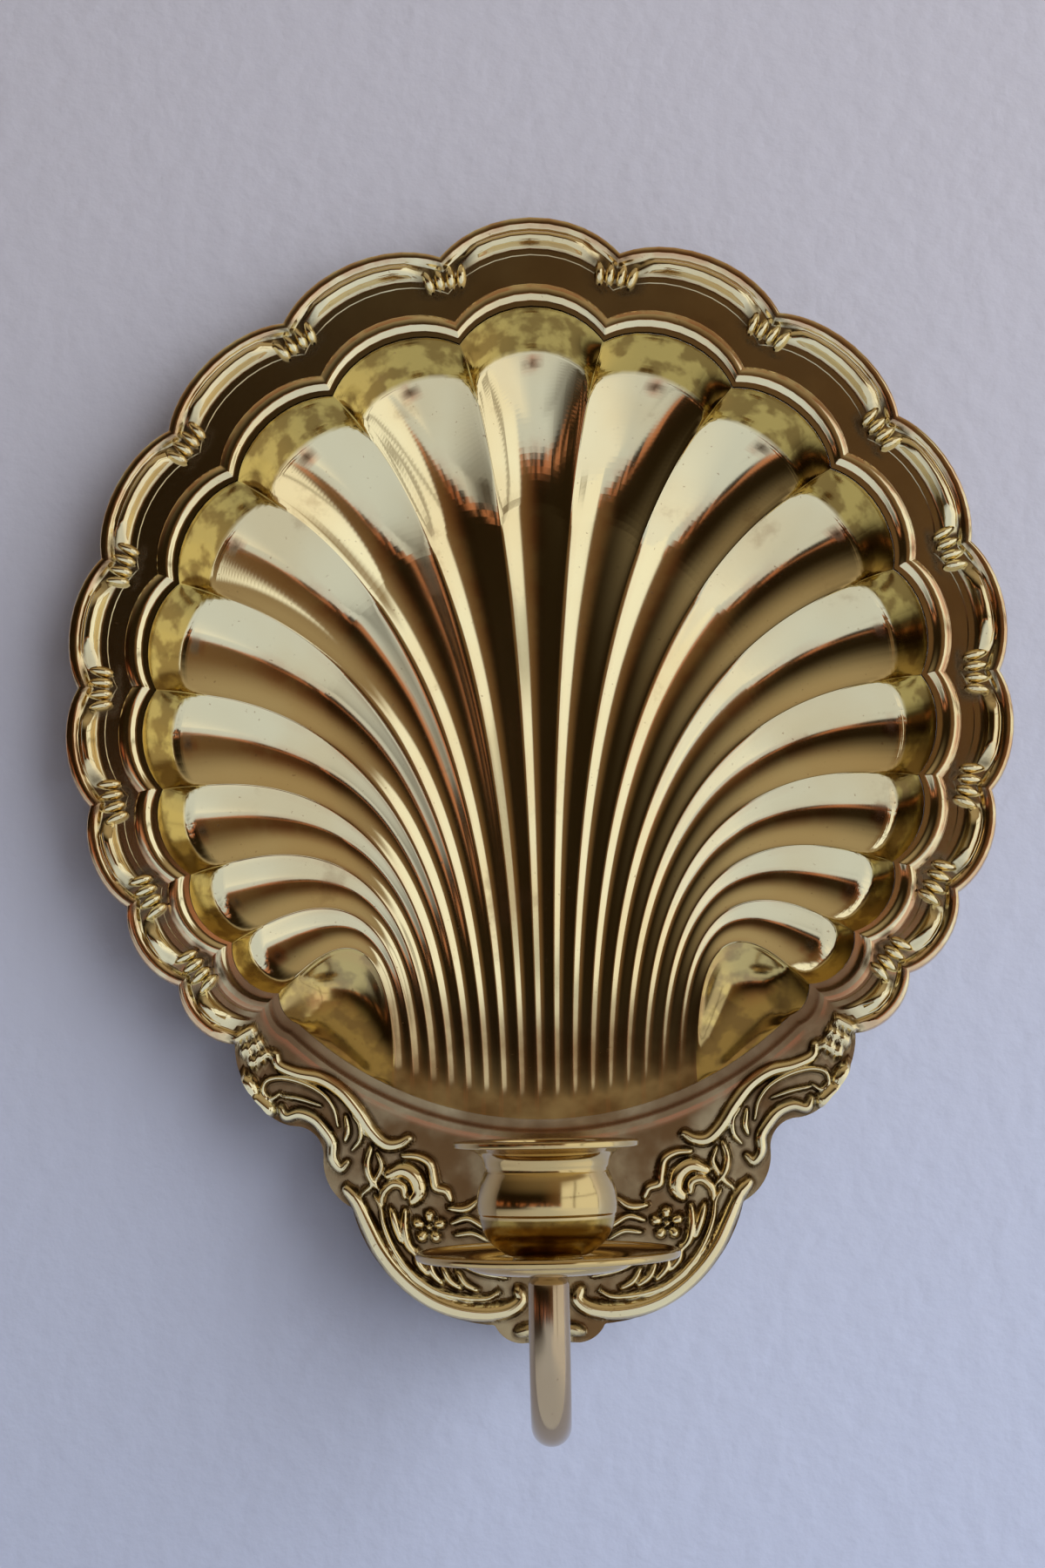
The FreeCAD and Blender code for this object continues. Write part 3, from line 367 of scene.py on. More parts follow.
flutes = [flute_grid(lobe) for lobe in range(-lobes_a_side - 1, lobes_a_side + 2)]
bowl_plan, bowl_height, bowl_raw_and_reflection, bowl_patina_and_shade, bowl_lift = (
    np.concatenate([flute[part] if n == 0 else flute[part][:, 1:]
                    for n, flute in enumerate(flutes)], axis=1) for part in range(5))
bowl_height[0] = bowl_height[-1] = -lip_drop
bowl_height[:, 0] = bowl_height[:, -1] = -lip_drop
print("bowl", bowl_plan.shape, "deepest", round(-bowl_height.min() / MM, 1), "mm")

# %% [markdown]
# ## Lip, brim and rim
#
# Round the bowl runs one closed ring of points: out from the bowl's edge over a rounded lip, then
# the flat brim, then the moulding along the outline. Above, the outline is the row of lobes; below
# it is the scrolled foot. The outline's corners are shares of the rim's end (sideways) and of the
# drop from there to the lowest point, and arcs through three of them at a time make the edge.

# %% Ring from the bowl's edge to the outline
outline_corners = [(0.974, 0.120), (0.911, 0.207), (0.870, 0.249), (0.796, 0.273),
                   (0.741, 0.302), (0.715, 0.373), (0.692, 0.475), (0.624, 0.540),
                   (0.495, 0.775), (0.175, 0.924), (0.131, 0.972), (0.063, 0.980)]


def arc_through(start, middle, end, samples=24):
    """Points on the circle's arc through three points, without its end point."""
    (ax, az), (bx, bz), (cx, cz) = start, middle, end
    twice = 2 * (ax * (bz - cz) + bx * (cz - az) + cx * (az - bz))
    a2, b2, c2 = (px * px + pz * pz for px, pz in (start, middle, end))
    centre = np.array([(a2 * (bz - cz) + b2 * (cz - az) + c2 * (az - bz)) / twice,
                       (a2 * (cx - bx) + b2 * (ax - cx) + c2 * (bx - ax)) / twice])
    turn = [math.atan2(p[1] - centre[1], p[0] - centre[0]) for p in (start, middle, end)]
    half = (turn[1] - turn[0] + math.pi) % (2 * math.pi) - math.pi
    whole = half + (turn[2] - turn[1] + math.pi) % (2 * math.pi) - math.pi
    angles = turn[0] + whole * np.arange(samples) / samples
    radius = math.dist(start, centre)
    return centre + radius * np.stack([np.cos(angles), np.sin(angles)], axis=1)


def lower_outline():
    """The plate's lower edge from the rim's right end round to its left end."""
    end = polar(cusp_angle(last_border), rim_radius)
    drop = end[1] - foot_z
    spots = [end] + [np.array([end[0] * a, end[1] - drop * b]) for a, b in outline_corners]
    foot = np.array([0, foot_z])
    arcs = [arc_through(*spots[n:n + 3]) for n in range(0, len(spots) - 1, 2)]
    across_foot = spots[-1] * [-1, 1]
    left_side = (np.concatenate(arcs) * [-1, 1])[::-1]
    arcs.append(arc_through(spots[-1], foot, across_foot, 12))
    return np.concatenate([*arcs, [across_foot], left_side])


def outline_at(edge):
    """Points of the outline that belong to the points of the bowl's edge."""
    top = [polar(cusp_angle(-last_border), rim_radius)[None]]
    for lobe in range(-lobes_a_side, lobes_a_side + 1):
        top.append(lobe_curve(lobe, rim_radius, rim_radius, across[1:]))
    top = np.concatenate(top)
    first = flute_columns - 1                 # the tip of the left side panel comes first
    lower_edge = np.concatenate([edge[first + len(top) - 1:], edge[:first + 1]])
    run = lengths(lower_edge)
    lower = lower_outline()
    lower_run = lengths(lower)
    where = run / run[-1] * lower_run[-1]
    lower = np.stack([np.interp(where, lower_run, lower[:, axis]) for axis in (0, 1)], axis=1)
    left_end = lower[-(first + 1):]
    right_end = lower[:-(first + 1)]
    return np.concatenate([left_end[:-1], top, right_end[1:]])


bowl_edge = np.concatenate([bowl_plan[-1], bowl_plan[-2::-1, -1],
                            bowl_plan[0, -2::-1], bowl_plan[1:, 0]])
outline = outline_at(bowl_edge[:-1])
outline = np.concatenate([outline, outline[:1]])
print("ring", bowl_edge.shape, outline.shape)

# %% [markdown]
# ## Lip and moulding
#
# The lip is where the sheet turns down into the bowl, with a soft bead beside it. The moulding is
# a rolled edge, a low step behind it and a second roll that stops short of each junction. They
# could be swept along the outline, but the sweep would cross itself at the cusps. So each is a
# height over the distance from the outline, and the highest one counts.

# %% Heights over the ring
lip_rows, brim_rows, moulding_rows = 10, 130, 30
lip_bead_at, lip_bead_half, lip_bead_height = 0.2 * MM, 2.2 * MM, 0.55 * MM    # out from the lip
roll_at, roll_half, roll_height = 1.6 * MM, 2.0 * MM, 2.1 * MM      # in from the outline
step_top, step_foot, step_height = 6.6 * MM, 8.2 * MM, 0.5 * MM     # where the step slopes down
crest_at, crest_half, crest_top = 5.3 * MM, 1.9 * MM, moulding_height - 0.1 * MM
crest_none, crest_full = 6.4 * MM, 7.6 * MM           # from a cusp: the second roll ends here

outward = bowl_edge - toe_centre
outward = outward / np.linalg.norm(outward, axis=1, keepdims=True)
lip_edge = bowl_edge + outward * lip_width
gap = lip_edge - outline
gap_length = np.linalg.norm(gap, axis=1, keepdims=True)
inward = gap / gap_length
fold = np.minimum(moulding_width, gap_length * 0.45)
moulding_edge = outline + inward * fold


def between(first, last, shares):
    """Rows of points from one line to another."""
    return first[None] + (last - first)[None] * shares[:, None, None]


lip_share = np.linspace(0, 1, lip_rows)[:-1]
brim_share = np.linspace(0, 1, brim_rows)[:-1]
fold_share = (1 - np.cos(np.linspace(0, math.pi, moulding_rows))) / 2
ring_plan = np.concatenate([between(bowl_edge, lip_edge, lip_share),
                            between(lip_edge, moulding_edge, brim_share),
                            between(moulding_edge, outline, fold_share)])


def bump(distance, half_width, height):
    """Half-round section: height over a line at that distance."""
    return height * np.sqrt(np.clip(1 - (distance / half_width) ** 2, 0, 1))


lip_height = -lip_drop * (1 - lip_share) ** 1.9
ring_height = np.zeros(ring_plan.shape[:2])
ring_height[:len(lip_share)] = lip_height[:, None]
from_lip = np.linalg.norm(ring_plan - bowl_edge[None], axis=2) - lip_width
at_lobes = smooth_step(bowl_edge[:, 1], -75 * MM, -55 * MM)      # 0 along the lower edge
lip_bead = bump(from_lip - lip_bead_at, lip_bead_half, lip_bead_height)
ring_height += at_lobes * lip_bead ** 1.5 / lip_bead_height ** 0.5

ring_angle = np.degrees(np.arctan2(outline[:, 0], outline[:, 1]))
on_rim = 1 - smooth_step(np.abs(ring_angle), cusp_angle(last_border) - 2, cusp_angle(last_border))
borders = np.arange(-last_border, last_border + 1)
cusps = cusp_angle(borders)
nearest = np.min(np.abs(ring_angle[:, None] - cusps[None]), axis=1)
from_cusp = np.radians(nearest) * rim_radius

inside = np.linalg.norm(ring_plan - outline[None], axis=2)       # distance in from the outline
roll = roll_height * np.clip(1 - (np.abs(inside - roll_at) / roll_half) ** 3, 0, 1) ** 0.6
step = step_height * (1 - smooth_step(inside, step_top, step_foot))
crest = bump(inside - crest_at, crest_half, crest_top)
crest = crest * smooth_step(from_cusp, crest_none, crest_full)
section = smooth_most(smooth_most(roll, step, 0.2 * MM), crest, 0.2 * MM)
rim_height = section * smooth_step(inside, -0.5 * MM, 0.6 * MM) - 0.4 * MM * (inside < 0.1 * MM)
ring_height += np.where(inside < moulding_width + 0.5 * MM, rim_height, 0) * on_rim
print("lip", lip_rows, "brim", brim_rows, "moulding", moulding_rows, "rows")

# %% [markdown]
# ## Relief of the foot
#
# The foot carries scrolls, petals and leaves. They are strokes: half-round strips along a line,
# joined by taking the highest. A height picture could give them too, but strokes keep their sizes
# and need no picture. Beside a stroke the polish never reaches and shade falls, so the same step
# sets a mark of dirt and painted shade there.

# %% Strokes


def stroke_over(plan, relief, dirt_and_shade, path, half_widths, height, crease_band=0.9 * MM):
    """Raise a half-round strip on the plan's points, with dirt and painted shade beside it."""
    for start, end, w0, w1 in zip(path, path[1:], half_widths, half_widths[1:]):
        reach = max(w0, w1) + crease_band
        low, high = np.minimum(start, end) - reach, np.maximum(start, end) + reach
        near = np.flatnonzero(np.all((plan > low) & (plan < high), axis=-1))
        spots = plan[near]
        step = end - start
        share = np.clip((spots - start) @ step / max(step @ step, 1e-12), 0, 1)
        away = np.linalg.norm(spots - start - share[:, None] * step, axis=1)
        half = w0 + (w1 - w0) * share
        tall = height * np.minimum(1, half / max(half_widths)) ** 0.5
        rise = tall * np.sqrt(np.clip(1 - (away / half) ** 2, 0, 1))
        relief[near] = np.maximum(relief[near], rise)
        # Dirt and painted shade in a band along the foot of the strip.
        dirt_and_shade[near] = np.maximum(dirt_and_shade[near], 1 - np.clip(np.abs(away - half) / crease_band, 0, 1))


ring_flat = ring_plan.reshape(-1, 2)
relief, dirt_and_shade = np.zeros(len(ring_flat)), np.zeros(len(ring_flat))

# %% [markdown]
# ## Knuckles
#
# Each junction of two lobes carries four small knuckles that point inward. On the plate they are
# pressed like the rest, but the ring's grid is too coarse for their crisp ends. So each is a drop
# with its own small grid, half sunk in the brim, and its stroke has no height and leaves only the
# dirt and painted shade round it.

# %% Knuckles at the junctions
knuckle_offsets = np.array([-4.9, -1.7, 1.7, 4.9]) * MM
knuckle_start, knuckle_end = 2.6 * MM, 8.6 * MM       # from the cusps' circle inward
knuckle_closing = 0.8                 # share of their spacing that the inner ends keep
knuckle_half, knuckle_low = 1.5 * MM, 0.3 * MM


def drop_grid(outer, inner, half_width, low, high, rings=15, segments=20):
    """A drop lying on the brim, fuller at its inner end, as plan points and heights."""
    turn = np.linspace(0, 2 * math.pi, segments + 1)
    turn[-1] = 0
    share = (1 - np.cos(np.linspace(0, math.pi, rings))) / 2
    full = np.sqrt(np.clip(1 - (2 * share - 1) ** 2, 0, 1)) * (0.72 + 0.28 * share)
    line = outer + (inner - outer) * share[:, None]
    ahead = (inner - outer) / np.linalg.norm(inner - outer)
    aside = np.array([-ahead[1], ahead[0]])
    spread = half_width * full[:, None] * np.cos(turn)
    plan = line[:, None] + spread[..., None] * aside
    height = low + (high - low) * full[:, None] * np.sin(turn)
    return plan, height


drops = []
for cusp in cusps[1:-1]:
    for offset in knuckle_offsets:
        turn = math.degrees(offset / rim_radius)
        outer = polar(cusp + turn, rim_radius - knuckle_start)
        inner = polar(cusp + turn * knuckle_closing, rim_radius - knuckle_end)
        stroke_over(ring_flat, relief, dirt_and_shade, np.stack([outer, inner]),
                    np.array([0.8, 1.0]) * knuckle_half, 0.0)
        drops.append(drop_grid(outer, inner, knuckle_half, knuckle_low, crest_top))
print("knuckles", len(drops))

# %% [markdown]
# The scrolls of the foot are drawn once, for the right half, as points in millimetres from the
# middle and from the rim's centre, and mirrored. A stroke swells from a thin end to its full
# width and back.

# %% Scrolls of the foot
scroll_strokes = [            # half width and height in mm, then the points of the line
    (1.9, 2.5, [(63.4, -86.0), (62.5, -88.8), (58.2, -90.8), (52.8, -92.0), (48.1, -94.9),
                (44.2, -99.5), (41.0, -104.3), (37.7, -107.4), (34.6, -107.5), (32.2, -106.2)]),
    (0.8, 2.6, [(62.4, -95.4), (64.4, -96.4), (66.2, -94.7), (65.4, -92.3), (62.0, -91.6),
                (57.1, -92.8), (52.4, -95.4), (49.7, -98.9), (48.7, -103.0)]),
    (1.6, 2.3, [(62.2, -98.5), (60.9, -100.6), (57.8, -100.0), (54.4, -101.3), (51.9, -103.9),
                (50.1, -106.9), (50.0, -110.4), (48.2, -112.8), (46.6, -111.4)]),
    (0.7, 2.0, [(62.0, -95.8), (57.6, -96.6), (52.8, -98.2)]),
    (1.0, 2.6, [(46.9, -100.8), (46.4, -104.2), (47.0, -106.4)]),
    (0.8, 2.4, [(45.2, -100.6), (43.6, -103.0), (43.6, -106.2), (45.4, -108.6)]),
    (1.1, 2.6, [(41.0, -108.2), (42.0, -111.6), (41.4, -115.0), (39.6, -117.4)]),
    (0.9, 2.4, [(39.6, -109.4), (38.6, -112.6), (40.6, -116.4), (43.2, -118.8)]),
    (2.3, 2.9, [(46.8, -117.6), (44.3, -120.6), (42.0, -125.5), (39.4, -130.8), (35.9, -135.7),
                (31.6, -140.0), (26.6, -143.4), (20.9, -145.5), (14.6, -146.3), (9.4, -145.6),
                (6.6, -143.6), (7.2, -141.4)]),
    (0.9, 3.1, [(40.2, -119.4), (38.9, -121.6), (38.3, -125.4), (36.7, -129.8), (34.1, -134.2),
                (30.6, -138.0), (26.2, -141.0), (20.6, -142.6), (14.8, -143.0), (11.6, -141.6)]),
    (1.3, 3.1, [(38.6, -121.4), (38.2, -118.6), (36.0, -116.6), (33.6, -117.2), (33.2, -119.6)]),
    (2.2, 3.2, [(37.0, -114.6), (33.6, -113.4), (30.8, -115.2), (29.9, -118.4), (31.4, -120.6)]),
    (1.3, 2.6, [(33.6, -110.2), (30.2, -110.4), (27.4, -112.0), (26.6, -115.2), (26.0, -117.6),
                (23.6, -118.4), (22.6, -120.4)]),
    (1.3, 2.8, [(36.4, -122.4), (35.4, -126.0), (34.2, -129.6)]),
    (1.3, 2.8, [(33.2, -122.6), (33.4, -126.6), (32.6, -130.4), (30.8, -132.6)]),
    (1.1, 2.7, [(30.6, -131.6), (30.2, -134.6), (28.2, -137.2)]),
    (1.1, 2.7, [(27.8, -134.0), (27.0, -137.0), (24.8, -139.4)]),
    (1.1, 2.6, [(24.6, -135.8), (23.2, -138.6), (20.6, -140.6)]),
    (1.0, 2.5, [(21.2, -136.8), (19.4, -139.6), (16.6, -141.2)]),
    (0.9, 2.2, [(21.4, -134.6), (16.2, -137.0), (10.0, -138.4)]),
    (1.1, 2.4, [(23.0, -122.4), (19.2, -122.6), (16.0, -120.6)]),
    (0.9, 2.6, [(22.4, -125.8), (18.6, -124.8), (14.4, -127.0), (11.2, -127.2)]),
    (0.8, 2.2, [(21.6, -128.6), (17.6, -128.2), (14.0, -130.0)]),
    (1.6, 1.9, [(2.4, -149.6), (7.4, -151.0)]),
    (1.6, 1.9, [(1.4, -149.6), (4.4, -152.6)]),
    (1.6, 1.9, [(0.0, -149.6), (0.0, -153.0)]),
]
end_lobes = [((69.9, -92.4), (68.8, -94.2)), ((67.6, -96.6), (64.9, -98.9))]
twisted_beads = [((72.2, -82.2), (69.0, -80.4)), ((70.6, -85.2), (67.2, -83.2)),
                 ((68.8, -88.0), (65.6, -86.0))]     # they run on from the rim's end
flower_centre, petal_reach = np.array([27.6, -126.6]), 2.7


def smooth_line(corners, samples=7):
    """A smooth line through corners, each passed in the direction of its two neighbours."""
    corners = np.array(corners, float)
    padded = np.concatenate([2 * corners[:1] - corners[1:2], corners,
                             2 * corners[-1:] - corners[-2:-1]])
    points = []
    for a, b, c, d in zip(padded, padded[1:], padded[2:], padded[3:]):
        for s in np.linspace(0, 1, samples, endpoint=False):
            points.append(0.5 * (2 * b + (c - a) * s + (2 * a - 5 * b + 4 * c - d) * s ** 2
                                 + (3 * b - a - 3 * c + d) * s ** 3))
    points.append(corners[-1])
    return np.array(points)


strokes = []
for half_width, height, corners in scroll_strokes:
    line = smooth_line(corners)
    swell = 0.62 + 0.38 * np.sin(math.pi * np.linspace(0, 1, len(line))) ** 0.6
    strokes.append((line, half_width * swell, height))
for ends in end_lobes + twisted_beads:
    wide = 2.1 if ends in end_lobes else 1.5
    strokes.append((np.array(ends), np.array([wide, wide]), 1.2 + wide))
for turn in np.radians(np.arange(20, 380, 72)):
    petal = flower_centre + petal_reach * np.array([math.cos(turn), math.sin(turn)])
    petal_line = np.stack([petal, petal * 0.8 + flower_centre * 0.2])
    strokes.append((petal_line, np.array([1.5, 1.2]), 3.0))
strokes.append((np.stack([flower_centre, flower_centre + 0.1]), np.array([0.8, 0.8]), 2.9))
for line, half_widths, height in strokes:
    for side in (-1, 1):
        stroke_over(ring_flat, relief, dirt_and_shade, line * [side * MM, MM], half_widths * MM, height * MM)

relief = relief.reshape(ring_height.shape)
# Dirt and painted shade stay low in the creases, so there is less of them on the high relief.
dirt_and_shade = dirt_and_shade.reshape(ring_height.shape) * (1 - smooth_step(relief, 1.2 * MM, 2.2 * MM))
ring_height = smooth_most(ring_height, relief - 0.05 * MM, 0.08 * MM)
print("strokes", len(strokes), "highest", round(relief.max() / MM, 2), "mm")

# %% [markdown]
# ## Wear and painted shade
#
# Years of polishing left the plate uneven, and some shade is painted in with it. Dirt and painted
# shade sit beside the relief, and one dark spot lies near the tip of each flute. The top of the
# metal is worn to a copper tone just outside the lip, round those spots, along the rolled edge and
# on some lines of the flutes. The flat brim has an old brown patina, and painted shade makes it
# stronger further down. Painting a picture could hold this, but the marks follow from distances
# that are known here, so they stay with the form.

# %% Wear and painted shade marks
spot_radius = 1.7 * MM                # dark spot in each flute
spot_place, spot_shift = 10.5 * MM, 0.2 * MM    # in from the tip, and how much less for each lobe
copper_run = 1.8 * MM                 # copper shows through just outside the lip

bowl_spots, bowl_copper = np.zeros(bowl_height.shape), np.zeros(bowl_height.shape)
for lobe in range(-lobes_a_side, lobes_a_side + 1):
    column = (lobe + lobes_a_side + 1) * (flute_columns - 1) + flute_columns // 2
    line = bowl_plan[:, column]
    run = lengths(line)
    spot = line[np.searchsorted(run, run[-1] - (spot_place - spot_shift * abs(lobe)))]
    away = np.linalg.norm(bowl_plan - spot, axis=2)
    bowl_spots = np.maximum(bowl_spots, 1 - smooth_step(away, spot_radius * 0.2, spot_radius))
    bowl_copper = np.maximum(bowl_copper, 1 - smooth_step(away, spot_radius, spot_radius * 1.8))
from_middle = np.minimum(across, 1 - across)
valley = np.concatenate([[0.0]] + [from_middle[1:]] * len(flutes))
bowl_copper += 0.8 * smooth_step(valley, 0.30, 0.5)[None] * (
    smooth_step(row_share, 0.45, 0.7) * (1 - smooth_step(row_share, 0.80, 0.88)))[:, None]
bowl_copper += 0.7 * (1 - smooth_step(np.abs(valley - 0.06), 0.0, 0.04))[None] * (
    1 - smooth_step(row_share, 0.5, 0.9))[:, None]
past_lip = from_lip - 1.5 * MM
ring_copper = smooth_step(past_lip, -0.4 * MM, 0) * (1 - smooth_step(past_lip, 0, copper_run))
ring_copper += 0.7 * on_rim * (1 - smooth_step(inside, 2.6 * MM, 3.6 * MM))
ring_plain = np.zeros(ring_height.shape)
flat = smooth_step(past_lip, 0, 1 * MM) * (1 - smooth_step(ring_height, 0.1 * MM, 0.6 * MM))
# Painted shade makes the brim's patina stronger further down; it is brown just outside the bowl's
# lower edge too.
shade_low_down = 1 - smooth_step(ring_plan[..., 1], -100 * MM, -60 * MM)
shade_half_down = 1 - smooth_step(ring_plan[..., 1], -60 * MM, 30 * MM)
ring_patina_and_shade = flat * (0.45 + 0.3 * shade_half_down + 0.25 * shade_low_down)
ring_patina_and_shade = np.maximum(ring_patina_and_shade, 0.85 * (1 - at_lobes) * (past_lip < 1 * MM))
print("marks", round(float(bowl_spots.mean()), 4), round(float(ring_copper.mean()), 4))

# %% [markdown]
# ## The plate in one piece
#
# The plate is one sheet: the back is the front moved into the wall by the sheet's thickness, and
# a strip along the outline joins the two. A modifier could thicken the front, but moved copies
# keep the back as even as the front. The drops of the knuckles are part of the same mesh.

# %% Shell plate


def plate_points(plan, height):
    """Plan points and heights as points of the row frame."""
    return np.stack([plan[..., 0], brim_y - height, rim_centre_z + plan[..., 1]], axis=-1)


bowl_front = plate_points(bowl_plan, bowl_height)
ring_front = plate_points(ring_plan, ring_height)
into_wall = np.array([0, sheet, 0])
edge_strip = np.stack([ring_front[-1], ring_front[-1] + into_wall])
knuckles = [plate_points(plan, height) for plan, height in drops]
skins = [bowl_front, ring_front, bowl_front + into_wall, ring_front + into_wall, edge_strip]
skins += knuckles
plain_parts = [np.zeros(skin.shape[:2]) for skin in skins[2:]]
marks = {"dirt_and_shade": [bowl_spots, dirt_and_shade] + plain_parts,
         "copper": [bowl_copper, ring_copper] + plain_parts,
         "raw_and_reflection": [bowl_raw_and_reflection, ring_plain] + plain_parts,
         "patina_and_shade": [bowl_patina_and_shade, ring_patina_and_shade] + plain_parts,
         "lift": [bowl_lift, ring_plain] + plain_parts}
flips = [False, True, True, False, True] + [False] * len(knuckles)
shell = mesh_object("shell_plate_look", skins, flips, marks)
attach(shell, "root")
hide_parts("shell_plate")
print("shell", len(shell.data.vertices), "points")

# %% [markdown]
# ## Turned and bent pieces
#
# The pan and the cup come off a lathe, so each is a profile turned about the candle's axis. A
# screw modifier would do the same, but the grid can also hold the mark "raw" for the cup's low
# part, which is not polished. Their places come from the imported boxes.

# %% Turned pieces


def rounded(corners, soft, steps=5):
    """The same line with each corner cut back by up to soft and rounded."""
    corners = [np.array(c, float) for c in corners]
    points = [corners[0]]
    for before, corner, after in zip(corners, corners[1:], corners[2:]):
        cut = min(soft, 0.45 * math.dist(before, corner), 0.45 * math.dist(corner, after))
        start = corner + (before - corner) / math.dist(before, corner) * cut
        end = corner + (after - corner) / math.dist(after, corner) * cut
        for share in np.linspace(0, 1, steps):
            points.append(start * (1 - share) ** 2 + corner * 2 * share * (1 - share)
                          + end * share ** 2)
    points.append(corners[-1])
    return np.array(points)


def turned_object(name, profile, base_z, raw_below=0.0, segments=128):
    """A closed profile of (radius, height) turned about the candle's axis, raw in its low part."""
    turn = np.linspace(0, 2 * math.pi, segments + 1)
    ring = np.stack([np.cos(turn), np.sin(turn)], axis=1)
    ring[-1] = ring[0]
    grid = np.empty((len(profile), segments + 1, 3))
    grid[..., 0] = profile[:, 0, None] * ring[None, :, 0]
    grid[..., 1] = candle_y + profile[:, 0, None] * ring[None, :, 1]
    grid[..., 2] = base_z + profile[:, 1, None]
    raw_and_reflection = np.broadcast_to(profile[:, 1, None] < raw_below, grid.shape[:2]).astype(float)
    return mesh_object(name, [grid], [True], {"raw_and_reflection": [raw_and_reflection]})


cup_low, cup_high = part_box("candle_cup")
pan_low, pan_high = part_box("drip_pan")
candle_y = (cup_low.y + cup_high.y) / 2
tall = cup_high.z - cup_low.z
flange = cup_high.x
bore, bore_floor = 11.2 * MM, tall - 15 * MM
screw_hole = 2.3 * MM
raw_height = 9.7 * MM                 # the cup is unpolished below this

waist = [(6.6 * MM, 2.1 * MM), (8.6 * MM, 2.6 * MM), (11.2 * MM, 4.6 * MM), (12.9 * MM, 7.2 * MM),
         (13.6 * MM, 9.8 * MM)]
belly = [(13.9 * MM, 10.5 * MM), (14.05 * MM, 12.2 * MM), (13.8 * MM, 14.6 * MM),
         (13.1 * MM, 17.0 * MM), (12.45 * MM, 18.6 * MM)]
cove = [(12.5 * MM, 19.7 * MM), (12.9 * MM, 21.2 * MM), (14.2 * MM, 22.5 * MM),
        (16.4 * MM, 23.2 * MM)]
cup_profile = np.concatenate([
    rounded([(screw_hole, 0), (7.2 * MM, 0), (7.2 * MM, 1.4 * MM), (6.6 * MM, 2.1 * MM)], 0.3 * MM),
    smooth_line(waist)[1:], rounded([waist[-1], (13.62 * MM, 10.2 * MM), belly[0]], 0.2 * MM)[1:],
    smooth_line(belly)[1:], [(12.1 * MM, 19.15 * MM)], smooth_line(cove),
    rounded([cove[-1], (flange, tall - 1.25 * MM), (flange, tall), (bore, tall),
             (bore, bore_floor), (screw_hole, bore_floor)], 0.35 * MM)[1:]])
cup = turned_object("candle_cup_look", cup_profile, cup_low.z, raw_height)
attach(cup, "root")
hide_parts("candle_cup")

pan_edge = pan_high.x
pan_tall = pan_high.z - pan_low.z
well, edge_bead = 17 * MM, 0.85 * MM  # radius of the well, and of the rolled edge's bead
under = [(screw_hole, 0), (well - 3.4 * MM, 0), (well - 1.2 * MM, 0.7 * MM), (well, 2.0 * MM),
         (well + 2 * MM, 2.3 * MM), (pan_edge - 2 * MM, 2.75 * MM)]
over = [(well + 1.6 * MM, 3.3 * MM), (well - 0.9 * MM, 2.9 * MM), (well - 2.2 * MM, 1.5 * MM),
        (well - 4.0 * MM, 1.0 * MM), (screw_hole, 1.0 * MM)]
bead_centre = np.array([pan_edge - edge_bead, pan_tall - edge_bead])
bead_turn = np.linspace(-2.2, 2.9, 18)[:, None]
bead = bead_centre + edge_bead * np.concatenate([np.cos(bead_turn), np.sin(bead_turn)], axis=1)
pan_profile = np.concatenate([rounded(under, 1.2 * MM), bead, rounded(over, 1.2 * MM)])
pan = turned_object("drip_pan_look", pan_profile, pan_low.z)
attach(pan, "root")
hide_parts("drip_pan")
print("cup", len(cup_profile), "and pan", len(pan_profile), "points in profile")

# %% [markdown]
# ## Arm
#
# The arm is a round rod bent twice: down out of the plate, then up to the pan, where it steps in
# to a neck. A curve object with a bevel would give the rod too. Circles set along the path, each
# with its own radius, also give the step at the neck, in the same kind of grid as the rest.

# %% Arm
rod = 4.1 * MM
root_z = (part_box("arm_washer")[0].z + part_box("arm_washer")[1].z) / 2
dip, first_bend, last_bend, stub = math.radians(40), 16 * MM, 17 * MM, 10 * MM
reach = brim_y - candle_y
slope = reach - stub - first_bend * math.sin(dip) - last_bend * (1 + math.sin(dip))


def bend(centre, radius, start, end, steps=30):
    """Points (y, z) on a bend, from one angle to another in radians."""
    turn = np.linspace(start, end, steps)
    return np.stack([centre[0] + radius * np.cos(turn), centre[1] + radius * np.sin(turn)], 1)


stub_end = np.array([brim_y - stub, root_z])
first = bend(stub_end - [0, first_bend], first_bend, math.pi / 2, math.pi / 2 + dip)
slope_end = first[-1] - [slope, slope * math.tan(dip)]
turn_centre = slope_end + last_bend * np.array([-math.sin(dip), math.cos(dip)])
last = bend(turn_centre, last_bend, dip - math.pi / 2, -math.pi)
neck_z, neck_radius = pan_low.z - 1.4 * MM, 3 * MM
shoulder = 0.92                       # share of the rod's radius at its end, to soften it
upright_run = [neck_z - 1 * MM, neck_z, neck_z + 0.2 * MM, pan_low.z - 0.1 * MM]
arm_path = np.concatenate([[[brim_y - 0.5 * MM, root_z]], first, last,
                           [[candle_y, z] for z in upright_run]])


def swept_object(name, path, radii, segments=64):
    """A round rod along a path in the upright plane x = 0."""
    along = np.gradient(path, axis=0)
    along = along / np.linalg.norm(along, axis=1, keepdims=True)
    side = np.stack([-along[:, 1], along[:, 0]], axis=1)
    turn = np.linspace(0, 2 * math.pi, segments + 1)
    ring = np.stack([np.cos(turn), np.sin(turn)], axis=1)
    ring[-1] = ring[0]
    grid = np.empty((len(path), segments + 1, 3))
    grid[..., 0] = radii[:, None] * ring[None, :, 0]
    for axis in (0, 1):
        grid[..., axis + 1] = (path[:, axis, None]
                               + radii[:, None] * side[:, axis, None] * ring[None, :, 1])
    return mesh_object(name, [grid], [False])


